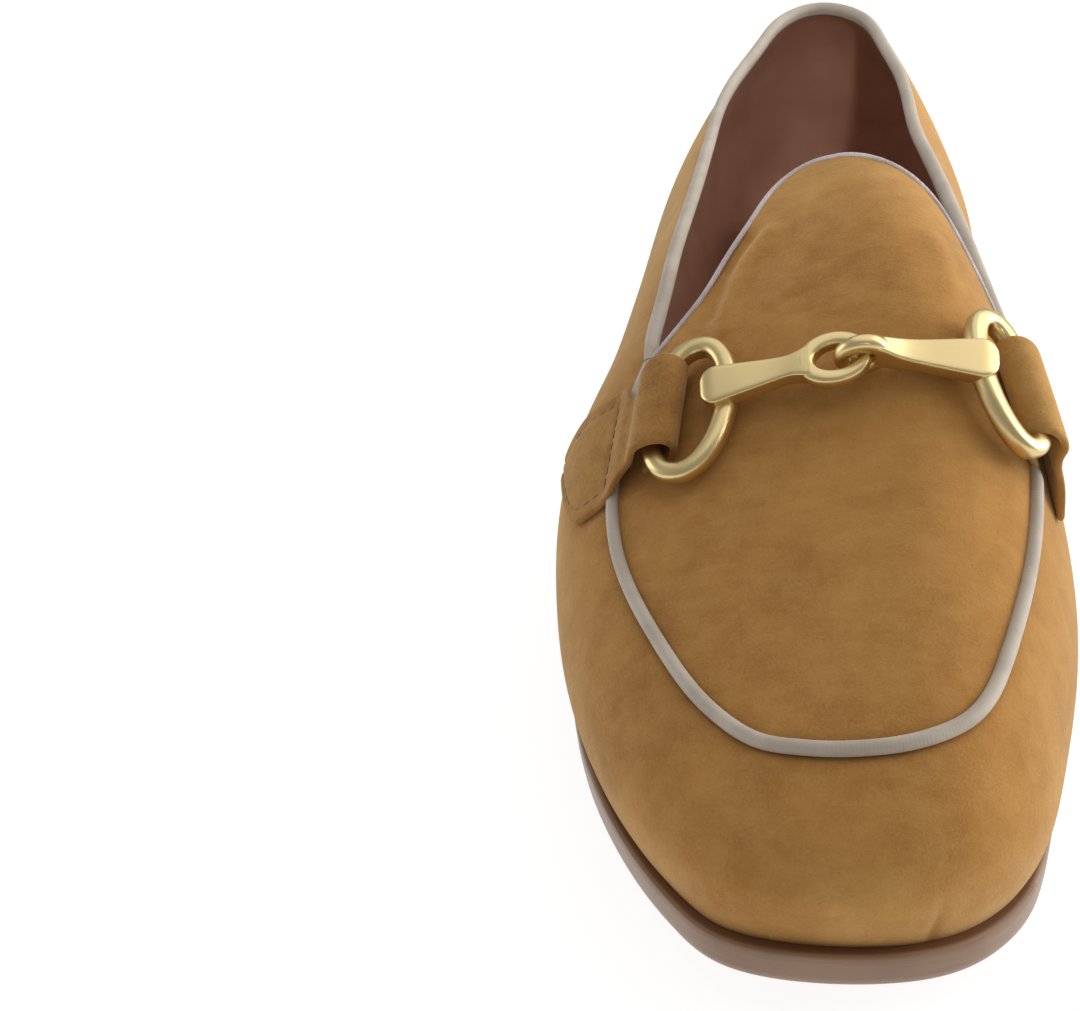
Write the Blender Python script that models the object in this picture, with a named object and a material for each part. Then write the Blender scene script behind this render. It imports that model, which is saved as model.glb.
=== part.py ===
"""A low slip-on loafer for the right foot, built from the shape of its last.

Lengths are in millimetres until the meshes are made.  A station is a distance
along the shoe from the back of the heel to the toe, the lateral side is -X,
the medial side is +X and the toe points along -Y.
"""

import bmesh
import bpy
import numpy as np

METRE = 0.001

# Main sizes of the shoe
LENGTH = 262.0
HEEL_CENTRE = 30.0
TOE_CENTRE = 232.0
HEEL_BACK = (0.0, 1.5)
TOE_TIP = (2.4, 259.7)
TOE_SEAM = 0.4625
THROAT = 165.0
DOME_ROOT = 2.0

# Thicknesses and the play between pieces
WALL = 1.8
EDGE_WALL = 1.0
SKIVE_START = 2.0
SKIVE_WIDTH = 4.0
SOLE_EDGE = 5.7
INSOLE = 2.0
INSOLE_PLAY = 0.5
INSOLE_CHAMFER = 0.5
GAP = 0.3

# Half widths of the upper's widest line, and the share of the way from the
# ridge to that line at which the apron seam runs
PLAN_COLUMNS = ("station", "lateral", "medial", "lateral_seam", "medial_seam")
PLAN_ROWS = (
    (10.0, 16.7, 19.1, 0.64, 0.79),
    (24.0, 24.1, 26.7, 0.64, 0.79),
    (45.0, 30.3, 30.7, 0.64, 0.79),
    (75.0, 36.3, 35.4, 0.64, 0.79),
    (110.0, 38.7, 35.9, 0.64, 0.79),
    (145.0, 42.2, 39.8, 0.64, 0.79),
    (THROAT, 46.0, 43.5, 0.643, 0.795),
    (190.0, 43.4, 45.0, 0.759, 0.767),
    (210.0, 38.4, 42.7, 0.743, 0.739),
    (228.0, 31.4, 38.85, 0.653, 0.678),
    (243.0, 23.2, 34.3, 0.575, 0.606),
    (252.0, 16.1, 27.7, 0.526, 0.537),
    (257.5, 9.4, 18.6, 0.474, 0.489),
)

# Heights over the floor of the feather line, of the widest line above it and
# of the crown; the ridge's place across; the shape of the section; and how far
# the feather line lies inside the widest line
RISE_COLUMNS = ("station", "seat", "widest", "crown", "ridge", "fullness", "tilt", "inset")
RISE_ROWS = (
    (0.0, 20.0, 20.0, 104.0, 0.0, 2.03, 0.00, 3.0),
    (20.0, 19.6, 20.0, 85.0, 0.0, 1.95, 0.00, 3.0),
    (45.0, 18.6, 20.0, 80.8, 0.0, 1.89, 0.00, 3.0),
    (75.0, 16.3, 19.0, 74.9, 0.4, 1.88, 0.01, 4.8),
    (105.0, 11.8, 17.0, 77.4, 3.1, 1.91, 0.10, 4.8),
    (130.0, 7.6, 15.0, 77.2, 4.5, 2.15, 0.185, 4.2),
    (152.0, 5.2, 13.0, 72.3, 6.0, 2.21, 0.24, 3.6),
    (175.0, 5.0, 11.0, 63.2, 7.1, 2.33, 0.24, 3.2),
    (200.0, 5.2, 10.0, 50.8, 8.2, 2.43, 0.24, 2.9),
    (225.0, 7.2, 8.9, 41.3, 8.5, 2.55, 0.24, 1.9),
    (245.0, 9.8, 8.2, 35.6, 8.4, 2.69, 0.24, 1.8),
    (262.0, 12.4, 8.2, 32.7, 8.2, 2.80, 0.24, 0.8),
)

# Height of the quarters' top edge over the floor
TOPLINE_COLUMNS = ("station", "height")
TOPLINE_ROWS = (
    (0.0, 80.6),
    (30.0, 74.1),
    (60.0, 68.3),
    (90.0, 64.4),
    (120.0, 62.3),
    (150.0, 56.4),
    (THROAT, 53.2),
)

# Plan of the tongue's free edge, from the lateral to the medial throat
TONGUE_COLUMNS = ("station", "across")
TONGUE_ROWS = (
    (155.0, -18.5),
    (147.0, -14.5),
    (139.1, -10.1),
    (132.4, -6.3),
    (128.1, -0.3),
    (127.9, 4.4),
    (129.0, 7.8),
    (132.9, 14.5),
    (138.7, 22.2),
    (147.0, 26.9),
    (155.0, 30.7),
)

# Side of the outsole from its top to its tread: how far the sole stands out
# from the feather line along either side, and the profile of its edge
LEDGE_COLUMNS = ("station", "lateral", "medial")
LEDGE_ROWS = (
    (0.0, 1.6, 1.6),
    (60.0, 1.2, 1.2),
    (130.0, 1.6, 1.6),
    (190.0, 2.0, 2.3),
    (225.0, 1.45, 1.05),
    (259.7, 2.4, 2.4),
)
SOLE_PROFILE_COLUMNS = ("inset", "share")
SOLE_PROFILE_ROWS = (
    (0.3, 1.0),
    (0.0, 0.9),
    (0.05, 0.25),
    (0.5, 0.0),
)
HEEL_PROFILE_COLUMNS = ("inset", "share")
HEEL_PROFILE_ROWS = (
    (0.6, 1.0),
    (0.9, 0.55),
    (1.7, 0.06),
    (2.3, 0.0),
)
HEEL_BREAST = 66.0

# Raised bead along the apron seam, in front of the tabs
PIPING_RADIUS = 1.15
PIPING_START = 191.4
PIPING_STEPS = 36
PIPING_SIDES = 6

# Sections of the folded bindings: distance from the edge over the skin, and
# height over the skin
BINDING_COLUMNS = ("inside", "over")
QUARTER_BINDING_ROWS = (
    (1.4, 0.30),
    (1.4, 0.70),
    (0.6, 0.95),
    (0.0, 0.90),
    (-0.80, 0.35),
    (-0.80, -1.30),
    (0.0, -1.95),
    (2.4, -2.25),
    (2.4, -1.80),
    (0.6, -1.50),
    (-0.30, -1.30),
    (-0.30, 0.30),
)
TONGUE_BINDING_ROWS = (
    (1.2, 0.30),
    (1.2, 0.60),
    (0.3, 0.72),
    (-0.65, 0.20),
    (-0.65, -1.20),
    (0.1, -1.80),
    (0.8, -1.85),
    (0.8, -1.45),
    (-0.30, -1.30),
    (-0.30, 0.30),
)
BINDING_TRIM = 4.0
TONGUE_TRIM = 2

# The bit: place of its middle and rings, and the size of its members.  The
# lateral eye lies flat and the medial one stands up through it.
BIT_STATION = 182.7
BIT_ACROSS = 6.2
BIT_LIFT = 4.6
RING_STATION = {"lateral": 183.2, "medial": 182.6}
RING_ACROSS = {"lateral": -17.4, "medial": 29.8}
RING_SLANT = {"lateral": -0.10, "medial": 0.30}
TAB_SLANT = {"lateral": 0.03, "medial": 0.0}
RING_LIFT = {"lateral": 3.7, "medial": 3.3}
RING_WIRE = 1.7
RING_LONG = 12.4
RING_WIDE = 6.1
RING_SQUARENESS = 0.4
RING_STEPS = 28
RING_SIDES = 7
EYE_OUT = {"lateral": 0.0, "medial": 4.2}
EYE_LONG = {"lateral": 4.7, "medial": 3.2}
EYE_WIDE = {"lateral": 3.8, "medial": 2.7}
EYE_WIRE = {"lateral": 1.1, "medial": 1.2}
EYE_TURN = {"lateral": 0.0, "medial": np.pi / 2.0}
EYE_STEPS = 18
EYE_SIDES = 6
BAR_RISE = 1.3
BAR_OVERLAP = 3.0
BAR_BACK = {"lateral": 1.1, "medial": 1.4}
BAR_COLUMNS = ("share", "half_width", "half_depth")
BAR_ROWS = (
    (0.00, 1.5, 1.05),
    (0.25, 1.65, 1.30),
    (0.60, 2.9, 1.45),
    (0.95, 3.9, 1.50),
    (1.00, 3.4, 1.20),
)
BAR_CHAMFER = 0.5

# The tabs: strap thickness, path of the strap seen along the shoe, and the
# stations of its rear and front edges along that path
STRAP = 1.2
TAB_REACH = {"lateral": 35.3, "medial": 29.2}
LOOP_RADIUS = 3.3
LOOP_OUT = {"lateral": 5.7, "medial": 5.3}
LOOP_HEIGHT = {"lateral": 4.3, "medial": 4.2}
LOOP_TURN = np.radians((20.0, 50.0, 80.0, 110.0, 140.0, 170.0, 200.0, 230.0, 260.0))
TAB_FLAT_COLUMNS = ("out", "up")
TAB_FLAT_ROWS = (
    (18.0, 0.90),
    (15.0, 1.35),
    (12.6, 2.30),
    (10.3, 2.75),
)
TAB_UNDER_ROWS = (
    (8.6, 0.90),
    (11.4, 0.90),
)
TAB_EDGE_COLUMNS = ("out", "rear", "front")
TAB_EDGE_ROWS = {
    "lateral": ((9.0, 174.4, 189.4), (15.0, 168.0, 190.6)),
    "medial": ((9.0, 173.4, 188.6), (15.0, 167.2, 190.4)),
}
TAB_ROWS = 5
TAB_FLAT_STEPS = 3
FLANK_SAMPLES = 90

# Number of facets
FRONT_STEPS = 40
REAR_STEPS = 36
SKIRT_ROWS = 3
CLIMB_ROWS = 7
APRON_ROWS = 8
SLAB_ROWS = 40
OUTLINE_SAMPLES = 721
FIRST_ROW = 0.02
LAST_ROW = 0.9999

# Limits of the searches over the dome
STEEPEST_CLIMB = 1.3
FLANK_TOP = 1.5
HALVINGS = 40
THROAT_BLEND = 4
SMALL_TURN = 1e-3
SMALL_STEP = 1e-2

SUEDE = (0.43, 0.21, 0.05, 1.0)
SOLE_LEATHER = (0.30, 0.13, 0.06, 1.0)
HEEL_LEATHER = (0.17, 0.07, 0.035, 1.0)
LINING = (0.16, 0.062, 0.032, 1.0)
TAUPE = (0.50, 0.42, 0.34, 1.0)
LILAC_GREY = (0.42, 0.36, 0.36, 1.0)
PALE_GOLD = (0.78, 0.58, 0.30, 1.0)


def table(columns, rows):
    """Columns of a table by name."""
    return dict(zip(columns, np.array(rows, dtype=float).T))


PLAN = table(PLAN_COLUMNS, PLAN_ROWS)
RISE = table(RISE_COLUMNS, RISE_ROWS)
TOPLINE = table(TOPLINE_COLUMNS, TOPLINE_ROWS)
TONGUE = table(TONGUE_COLUMNS, TONGUE_ROWS)
LEDGE = table(LEDGE_COLUMNS, LEDGE_ROWS)
SOLE_PROFILE = table(SOLE_PROFILE_COLUMNS, SOLE_PROFILE_ROWS)
HEEL_PROFILE = table(HEEL_PROFILE_COLUMNS, HEEL_PROFILE_ROWS)
QUARTER_BINDING = table(BINDING_COLUMNS, QUARTER_BINDING_ROWS)
TONGUE_BINDING = table(BINDING_COLUMNS, TONGUE_BINDING_ROWS)
BAR = table(BAR_COLUMNS, BAR_ROWS)
TAB_FLAT = table(TAB_FLAT_COLUMNS, TAB_FLAT_ROWS)
TAB_UNDER = table(TAB_FLAT_COLUMNS, TAB_UNDER_ROWS)
TAB_EDGE = {name: table(TAB_EDGE_COLUMNS, rows) for name, rows in TAB_EDGE_ROWS.items()}


def spline(knots, values, at):
    """Natural cubic spline through the values, which may have columns."""
    knots = np.asarray(knots, dtype=float)
    values = np.asarray(values, dtype=float)
    at = np.asarray(at, dtype=float)
    gaps = np.diff(knots)
    system = np.diag(np.concatenate(([1.0], 2.0 * (gaps[:-1] + gaps[1:]), [1.0])))
    system += np.diag(np.concatenate(([0.0], gaps[1:])), 1)
    system += np.diag(np.concatenate((gaps[:-1], [0.0])), -1)
    wide = gaps.reshape((-1,) + (1,) * (values.ndim - 1))
    slopes = np.diff(values, axis=0) / wide
    bends = np.zeros_like(values)
    bends[1:-1] = 6.0 * np.diff(slopes, axis=0)
    bends = np.linalg.solve(system, bends)
    k = np.clip(np.searchsorted(knots, at, side="right") - 1, 0, len(gaps) - 1)
    past = at - knots[k]
    gap = gaps[k]
    if values.ndim > 1:
        past = past[..., None]
        gap = gap[..., None]
    start = slopes[k] - gap * (2.0 * bends[k] + bends[k + 1]) / 6.0
    cubic = (bends[k + 1] - bends[k]) / (6.0 * gap)
    return values[k] + past * (start + past * (bends[k] / 2.0 + past * cubic))


def chord_knots(points):
    """Spline parameter that grows with the root of each chord."""
    chords = np.linalg.norm(np.diff(points, axis=0), axis=1)
    return np.concatenate(([0.0], np.cumsum(np.sqrt(chords))))


def rise(column, station):
    """A column of the section table at any station."""
    return spline(RISE["station"], RISE[column], station)


LATERAL_POINTS = np.column_stack((-PLAN["lateral"], PLAN["station"]))
MEDIAL_POINTS = np.column_stack((PLAN["medial"], PLAN["station"]))[::-1]
OUTLINE_POINTS = np.vstack(([HEEL_BACK], LATERAL_POINTS, [TOE_TIP], MEDIAL_POINTS))
WRAP = 4
WRAPPED_POINTS = np.vstack((OUTLINE_POINTS[-WRAP:], OUTLINE_POINTS, OUTLINE_POINTS[: WRAP + 1]))
TURN_KNOTS = chord_knots(WRAPPED_POINTS)
TURN_KNOTS = TURN_KNOTS - TURN_KNOTS[WRAP]
TURN_END = TURN_KNOTS[WRAP + len(OUTLINE_POINTS)]
THROAT_ROW = int(np.argmin(np.abs(PLAN["station"] - THROAT)))
LATERAL_THROAT = 1 + THROAT_ROW
MEDIAL_THROAT = len(OUTLINE_POINTS) - 1 - THROAT_ROW
FRONT_TURNS = TURN_KNOTS[WRAP + LATERAL_THROAT : WRAP + MEDIAL_THROAT + 1]
TIP_TURN = TURN_KNOTS[WRAP + 1 + len(PLAN["station"])]
SEAM_SHARES = np.concatenate(
    (PLAN["lateral_seam"][THROAT_ROW:], [TOE_SEAM], PLAN["medial_seam"][THROAT_ROW:][::-1])
)


def outline(turn):
    """Plan point of the widest line, going heel, lateral side, toe, medial side."""
    return spline(TURN_KNOTS, WRAPPED_POINTS, np.mod(turn, TURN_END))


DENSE_OUTLINE = outline(np.linspace(0.0, TURN_END, OUTLINE_SAMPLES))


def spine(station):
    """Plan point from which a section or a fan of the toe or heel starts."""
    inner = np.clip(station, HEEL_CENTRE, TOE_CENTRE)
    return np.stack((rise("ridge", inner), inner), axis=-1)


def in_space(plan, z):
    """Plan point and height as a point of the shoe."""
    return np.stack((plan[..., 0], LENGTH / 2.0 - plan[..., 1], z), axis=-1)


def dome_height(plan, share, lean, edge_station):
    """Height over the floor of the upper's dome.

    The share runs from 0 on the ridge to 1 on the widest line, and the lean
    from -1 on the lateral side to 1 on the medial one, where the dome is fuller.
    """
    foot = rise("seat", edge_station) + rise("widest", edge_station)
    station = plan[..., 1]
    arch = np.maximum(1.0 - share ** rise("fullness", station), 0.0) ** (1.0 / DOME_ROOT)
    tilt = 1.0 + rise("tilt", station) * lean * (1.0 - lean**2)
    return foot + (rise("crown", station) - foot) * arch * tilt


def dome(turn, climb):
    """Point of the upper above its widest line; climb is 0 there and a right angle on the ridge."""
    turn, climb = np.broadcast_arrays(turn, climb)
    edge = outline(turn)
    centre = spine(edge[..., 1])
    reach = edge - centre
    share = np.cos(climb)
    plan = centre + reach * share[..., None]
    lean = share * reach[..., 0] / np.linalg.norm(reach, axis=-1)
    return in_space(plan, dome_height(plan, share, lean, edge[..., 1]))


def dome_normal(turn, climb):
    """Outward normal of the dome."""
    along = dome(turn + SMALL_TURN, climb) - dome(turn - SMALL_TURN, climb)
    up = dome(turn, climb + SMALL_TURN) - dome(turn, climb)
    return unit(np.cross(along, up))


def unit(vectors):
    """Vectors of length one."""
    return vectors / np.linalg.norm(vectors, axis=-1, keepdims=True)


def outline_normal(turn):
    """Level outward normal of the widest line in space."""
    along = outline(turn + SMALL_TURN) - outline(turn - SMALL_TURN)
    flat = np.stack((-along[..., 1], -along[..., 0], np.zeros(along.shape[:-1])), axis=-1)
    return unit(flat)


def feather(turn, out):
    """Plan point that stands out from the feather line by a distance."""
    edge = outline(turn)
    normal = outline_normal(turn)
    outward = np.stack((normal[..., 0], -normal[..., 1]), axis=-1)
    return edge + outward * (out - rise("inset", edge[..., 1]))[..., None]


def skirt(turn, level):
    """Point of the wall between the feather line, level 0, and the widest line, level 1."""
    turn, level = np.broadcast_arrays(turn, level)
    edge = outline(turn)
    inset = rise("inset", edge[..., 1])
    plan = feather(turn, inset * (1.0 - (1.0 - level) ** 2))
    z = rise("seat", edge[..., 1]) + rise("widest", edge[..., 1]) * level
    return in_space(plan, z)


def side_across(station, side):
    """Where the widest line lies across the shoe at a station; side is -1 or 1."""
    tip = int(np.argmax(DENSE_OUTLINE[:, 1]))
    lateral = DENSE_OUTLINE[: tip + 1]
    medial = DENSE_OUTLINE[tip:][::-1]
    left = np.interp(station, lateral[:, 1], lateral[:, 0])
    right = np.interp(station, medial[:, 1], medial[:, 0])
    return np.where(side < 0, left, right)


def dome_over(across, station):
    """Height of the upper over a plan point of the vamp."""
    plan = np.stack(np.broadcast_arrays(across, station), axis=-1).astype(float)
    centre = spine(plan[..., 1])
    reach = plan - centre
    side = np.where(reach[..., 0] < 0.0, -1.0, 1.0)
    middle_share = reach[..., 0] / (side_across(plan[..., 1], side) - centre[..., 0])
    toe = spine(np.array(TOE_CENTRE))
    front = DENSE_OUTLINE[DENSE_OUTLINE[:, 1] > TOE_CENTRE - 1.0] - toe
    bearings = np.arctan2(front[:, 1], front[:, 0])
    order = np.argsort(bearings)
    bearing = np.arctan2(reach[..., 1], reach[..., 0])
    radius = np.interp(bearing, bearings[order], np.linalg.norm(front, axis=1)[order])
    in_fan = plan[..., 1] > TOE_CENTRE
    share = np.where(in_fan, np.linalg.norm(reach, axis=-1) / radius, middle_share)
    lean = share * np.where(in_fan, np.cos(bearing), side)
    edge_station = np.where(in_fan, TOE_CENTRE + radius * np.sin(bearing), plan[..., 1])
    return dome_height(plan, np.clip(share, 0.0, 1.0), lean, edge_station)


def vamp(plan):
    """Point of the vamp over a plan point."""
    return in_space(plan, dome_over(plan[..., 0], plan[..., 1]))


def vamp_normal(plan):
    """Outward normal of the vamp over a plan point."""
    place, station = plan[..., 0], plan[..., 1]
    across = dome_over(place + SMALL_STEP, station) - dome_over(place - SMALL_STEP, station)
    along = dome_over(place, station + SMALL_STEP) - dome_over(place, station - SMALL_STEP)
    return unit(np.stack((-across, along, np.full(across.shape, 2.0 * SMALL_STEP)), axis=-1))


def seam_climb(turn):
    """Climb of the apron seam on the front of the upper."""
    return np.arccos(spline(FRONT_TURNS, SEAM_SHARES, turn))


def topline_climb(turn):
    """Climb at which the quarters reach their top edge, found by halving."""
    throats = dome(FRONT_TURNS[[0, -1]], seam_climb(FRONT_TURNS[[0, -1]]))
    side = np.where(outline(turn)[..., 0] < 0.0, 0, 1)
    miss = throats[side, 2] - TOPLINE["height"][-1]
    low = np.zeros(np.shape(turn))
    high = np.full(np.shape(turn), STEEPEST_CLIMB)
    for _ in range(HALVINGS):
        middle = (low + high) / 2.0
        point = dome(turn, middle)
        station = LENGTH / 2.0 - point[..., 1]
        aim = spline(TOPLINE["station"], TOPLINE["height"], station)
        aim = aim + miss * (station / THROAT) ** THROAT_BLEND
        over = point[..., 2] > aim
        high = np.where(over, middle, high)
        low = np.where(over, low, middle)
    return (low + high) / 2.0


def tongue_edge(steps):
    """Plan points of the tongue's free edge from throat to throat."""
    throats = dome(FRONT_TURNS[[0, -1]], seam_climb(FRONT_TURNS[[0, -1]]))
    ends = np.column_stack((throats[:, 0], LENGTH / 2.0 - throats[:, 1]))
    points = np.vstack((ends[:1], np.column_stack((TONGUE["across"], TONGUE["station"])), ends[1:]))
    knots = chord_knots(points)
    return spline(knots, points, np.linspace(0.0, knots[-1], steps + 1))


def grid_faces(index):
    """Faces of a grid of vertex numbers; repeated corners are dropped."""
    faces = []
    for near, far in zip(index[:-1], index[1:]):
        for k in range(len(near) - 1):
            corners = (near[k], near[k + 1], far[k + 1], far[k])
            face = tuple(dict.fromkeys(int(corner) for corner in corners))
            if len(face) > 2:
                faces.append(face)
    return faces


def material(name, colour, roughness, metallic=0.0):
    """Principled material of one piece."""
    made = bpy.data.materials.new(name)
    made.use_nodes = True
    shader = made.node_tree.nodes["Principled BSDF"]
    shader.inputs["Base Color"].default_value = colour
    shader.inputs["Roughness"].default_value = roughness
    shader.inputs["Metallic"].default_value = metallic
    return made


def add_piece(name, points, faces, look):
    """Closed mesh object of one piece, with its faces turned outwards."""
    mesh = bpy.data.meshes.new(name)
    mesh.from_pydata((np.asarray(points) * METRE).tolist(), [], faces)
    work = bmesh.new()
    work.from_mesh(mesh)
    bmesh.ops.recalc_face_normals(work, faces=work.faces)
    work.to_mesh(mesh)
    work.free()
    mesh.materials.append(look)
    piece = bpy.data.objects.new(name, mesh)
    bpy.context.scene.collection.objects.link(piece)
    return piece


def tube(rings, closed=False):
    """Points and faces of a tube through rings of points, capped unless it closes on itself."""
    count, around = rings.shape[:2]
    index = np.arange(count * around).reshape(count, around)
    index = np.column_stack((index, index[:, :1]))
    if closed:
        return rings.reshape(-1, 3), grid_faces(np.vstack((index, index[:1])))
    caps = [tuple(int(k) for k in index[0, :-1]), tuple(int(k) for k in index[-1, :-1])]
    return rings.reshape(-1, 3), grid_faces(index) + caps


def slab(levels, breast=None):
    """Rings of a layered slab that follows the plan of the feather line.

    Each level is how far its edge stands out from the feather line, as a
    function of the turn, and its height over the floor, as a function of the
    station.  The rows are closer at the ends.
    """
    turns = np.linspace(0.0, TURN_END, OUTLINE_SAMPLES)
    lateral, medial = [], []
    for out, height in levels:
        edge = feather(turns, out(turns))
        tip = int(np.argmax(edge[:, 1]))
        end = edge[tip, 1] if breast is None else breast
        start = edge[0, 1]
        half = np.pi if breast is None else np.pi / 2.0
        share = (1.0 - np.cos(np.linspace(FIRST_ROW, 1.0, SLAB_ROWS) * half)) / (1.0 - np.cos(half))
        share = np.minimum(share, LAST_ROW)
        station = start + (end - start) * share
        left = np.interp(station, edge[: tip + 1, 1], edge[: tip + 1, 0])
        right = np.interp(station, edge[tip:, 1][::-1], edge[tip:, 0][::-1])
        lateral.append(in_space(np.column_stack((left, station)), height(station)))
        medial.append(in_space(np.column_stack((right, station)), height(station)))
    return np.stack(lateral + medial[::-1], axis=1)


def sole_top(station):
    """Height of the outsole's upper face."""
    return rise("seat", station)


def sole_tread(station):
    """Height of the outsole's lower face, flat under the ball of the foot."""
    return np.maximum(rise("seat", station) - SOLE_EDGE, 0.0)


def ledge(turn):
    """How far the outsole stands out from the feather line."""
    station = outline(turn)[..., 1]
    lateral = spline(LEDGE["station"], LEDGE["lateral"], station)
    medial = spline(LEDGE["station"], LEDGE["medial"], station)
    return np.where(np.mod(turn, TURN_END) < TIP_TURN, lateral, medial)


def build_outsole():
    """Outsole with arch, toe spring and a rounded tread edge."""
    levels = []
    for inset, share in zip(SOLE_PROFILE["inset"], SOLE_PROFILE["share"]):
        def out(turn, inset=inset):
            return ledge(turn) - inset

        def height(station, share=share):
            return sole_tread(station) + share * (sole_top(station) - sole_tread(station))

        levels.append((out, height))
    return add_piece("outsole", *tube(slab(levels)), material("outsole", SOLE_LEATHER, 0.42))


def build_heel():
    """Low heel under the outsole's seat, flat on the floor and straight at its breast."""
    levels = []
    for inset, share in zip(HEEL_PROFILE["inset"], HEEL_PROFILE["share"]):
        def out(turn, inset=inset):
            return ledge(turn) - inset

        def height(station, share=share):
            return share * (sole_tread(station) - GAP)

        levels.append((out, height))
    return add_piece("heel", *tube(slab(levels, HEEL_BREAST)), material("heel", HEEL_LEATHER, 0.45))


def build_insole():
    """Insole lying inside the upper on the outsole."""
    def low_edge(turn):
        return np.full(np.shape(turn), -WALL - INSOLE_PLAY)

    def high_edge(turn):
        return low_edge(turn) - INSOLE_CHAMFER

    def low(station):
        return sole_top(station) + GAP

    def high(station):
        return sole_top(station) + GAP + INSOLE

    levels = [(high_edge, high), (low_edge, low)]
    return add_piece("insole", *tube(slab(levels)), material("insole", LINING, 0.6))


def skived_wall(plan, edge):
    """Thickness of the wall, thinned towards the nearest free edge."""
    distance = np.linalg.norm(plan - edge, axis=-1)
    full = np.clip((distance - SKIVE_START) / SKIVE_WIDTH, 0.0, 1.0)
    return EDGE_WALL + (WALL - EDGE_WALL) * full


def build_upper():
    """Vamp, quarters and tongued apron as one hollow wall, open at the throat and underneath."""
    front = np.linspace(FRONT_TURNS[0], FRONT_TURNS[-1], FRONT_STEPS + 1)
    rear = np.linspace(FRONT_TURNS[-1], FRONT_TURNS[0] + TURN_END, REAR_STEPS + 1)[1:-1]
    turns = np.concatenate((front, rear))
    top = np.concatenate((seam_climb(front), topline_climb(rear)))
    lift = np.array((0.0, 0.0, GAP))
    levels = np.linspace(0.0, 1.0, SKIRT_ROWS + 1)[:-1, None]
    low = skirt(turns[None], levels) + lift * (1.0 - levels[..., None])
    low_normal = np.broadcast_to(outline_normal(turns), low.shape)
    climbs = np.linspace(0.0, 1.0, CLIMB_ROWS + 1)[:, None] * top
    high = dome(turns[None], climbs)
    high_normal = dome_normal(np.broadcast_to(turns, climbs.shape), climbs)
    wall = np.full((SKIRT_ROWS + CLIMB_ROWS + 1, len(turns)), WALL)
    wall[-1, FRONT_STEPS:] = EDGE_WALL
    band = np.vstack((low, high))
    band_normal = np.vstack((low_normal, high_normal))

    seam = np.column_stack((band[-1, : FRONT_STEPS + 1, 0], LENGTH / 2.0 - band[-1, : FRONT_STEPS + 1, 1]))
    free = tongue_edge(FRONT_STEPS)
    blend = np.linspace(0.0, 1.0, APRON_ROWS + 1)[1:, None, None]
    plan = (seam * (1.0 - blend) + free * blend)[:, 1:-1]
    apron_wall = skived_wall(plan, free[1:-1])
    wall[-1, : FRONT_STEPS + 1] = skived_wall(seam, free)

    outer = np.vstack((band.reshape(-1, 3), vamp(plan).reshape(-1, 3)))
    normal = np.vstack((band_normal.reshape(-1, 3), vamp_normal(plan).reshape(-1, 3)))
    thickness = np.concatenate((wall.reshape(-1), apron_wall.reshape(-1)))
    inner = outer - normal * thickness[:, None]

    band_index = np.arange(band.shape[0] * band.shape[1]).reshape(band.shape[:2])
    closed_band = np.column_stack((band_index, band_index[:, :1]))
    apron_index = np.arange(plan.shape[0] * plan.shape[1]).reshape(plan.shape[:2]) + band_index.size
    seam_index = band_index[-1, : FRONT_STEPS + 1]
    left = np.full((APRON_ROWS, 1), seam_index[0])
    right = np.full((APRON_ROWS, 1), seam_index[-1])
    apron = np.vstack((seam_index, np.hstack((left, apron_index, right))))
    skin = grid_faces(closed_band) + grid_faces(apron)
    count = len(outer)
    lining = [tuple(corner + count for corner in reversed(face)) for face in skin]
    rear_edge = np.concatenate((band_index[-1, FRONT_STEPS:], band_index[-1, :1]))
    throat = np.concatenate((rear_edge, apron[-1, 1:]))
    foot = closed_band[0]
    rims = grid_faces(np.vstack((throat, throat + count))) + grid_faces(np.vstack((foot, foot + count)))
    faces = skin + lining + rims
    return add_piece("upper", np.vstack((outer, inner)), faces, material("upper", SUEDE, 0.92))


def seam_turn(station, side):
    """Turn of the outline at a station of the front of the upper."""
    turns = np.linspace(FRONT_TURNS[0], FRONT_TURNS[-1], OUTLINE_SAMPLES)
    stations = outline(turns)[:, 1]
    tip = int(np.argmax(stations))
    if side < 0:
        return np.interp(station, stations[:tip], turns[:tip])
    return np.interp(station, stations[tip:][::-1], turns[tip:][::-1])


def build_piping():
    """Half-round bead along the apron seam from one tab round the toe to the other."""
    turns = np.linspace(seam_turn(PIPING_START, -1), seam_turn(PIPING_START, 1), PIPING_STEPS + 1)
    climbs = seam_climb(turns)
    points = dome(turns, climbs)
    normals = dome_normal(turns, climbs)
    across = unit(np.cross(normals, np.gradient(points, axis=0)))
    angles = np.linspace(0.0, np.pi, PIPING_SIDES + 1)[:, None]
    side = across[:, None] * np.cos(angles) * PIPING_RADIUS
    up = normals[:, None] * (GAP + np.sin(angles) * PIPING_RADIUS)
    rings = points[:, None] + side + up
    return add_piece("apron_piping", *tube(rings), material("apron_piping", TAUPE, 0.6))


def build_quarter_binding():
    """Folded strip over the top edge of the quarters, ending short of the throat corners."""
    rear = np.linspace(FRONT_TURNS[-1], FRONT_TURNS[0] + TURN_END, REAR_STEPS + 1)
    edge = dome(rear, topline_climb(rear))
    chord = np.linalg.norm(edge[[1, -2]] - edge[[0, -1]], axis=1)
    rear[0] += (rear[1] - rear[0]) * BINDING_TRIM / chord[0]
    rear[-1] -= (rear[-1] - rear[-2]) * BINDING_TRIM / chord[1]
    top = topline_climb(rear)
    speed = np.linalg.norm(dome(rear, top) - dome(rear, top - SMALL_TURN), axis=1) / SMALL_TURN
    climbs = top[:, None] - QUARTER_BINDING["inside"] / speed[:, None]
    turns = np.broadcast_to(rear[:, None], climbs.shape)
    rings = dome(turns, climbs) + dome_normal(turns, climbs) * QUARTER_BINDING["over"][:, None]
    return add_piece("quarter_binding", *tube(rings), material("quarter_binding", TAUPE, 0.55))


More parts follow.
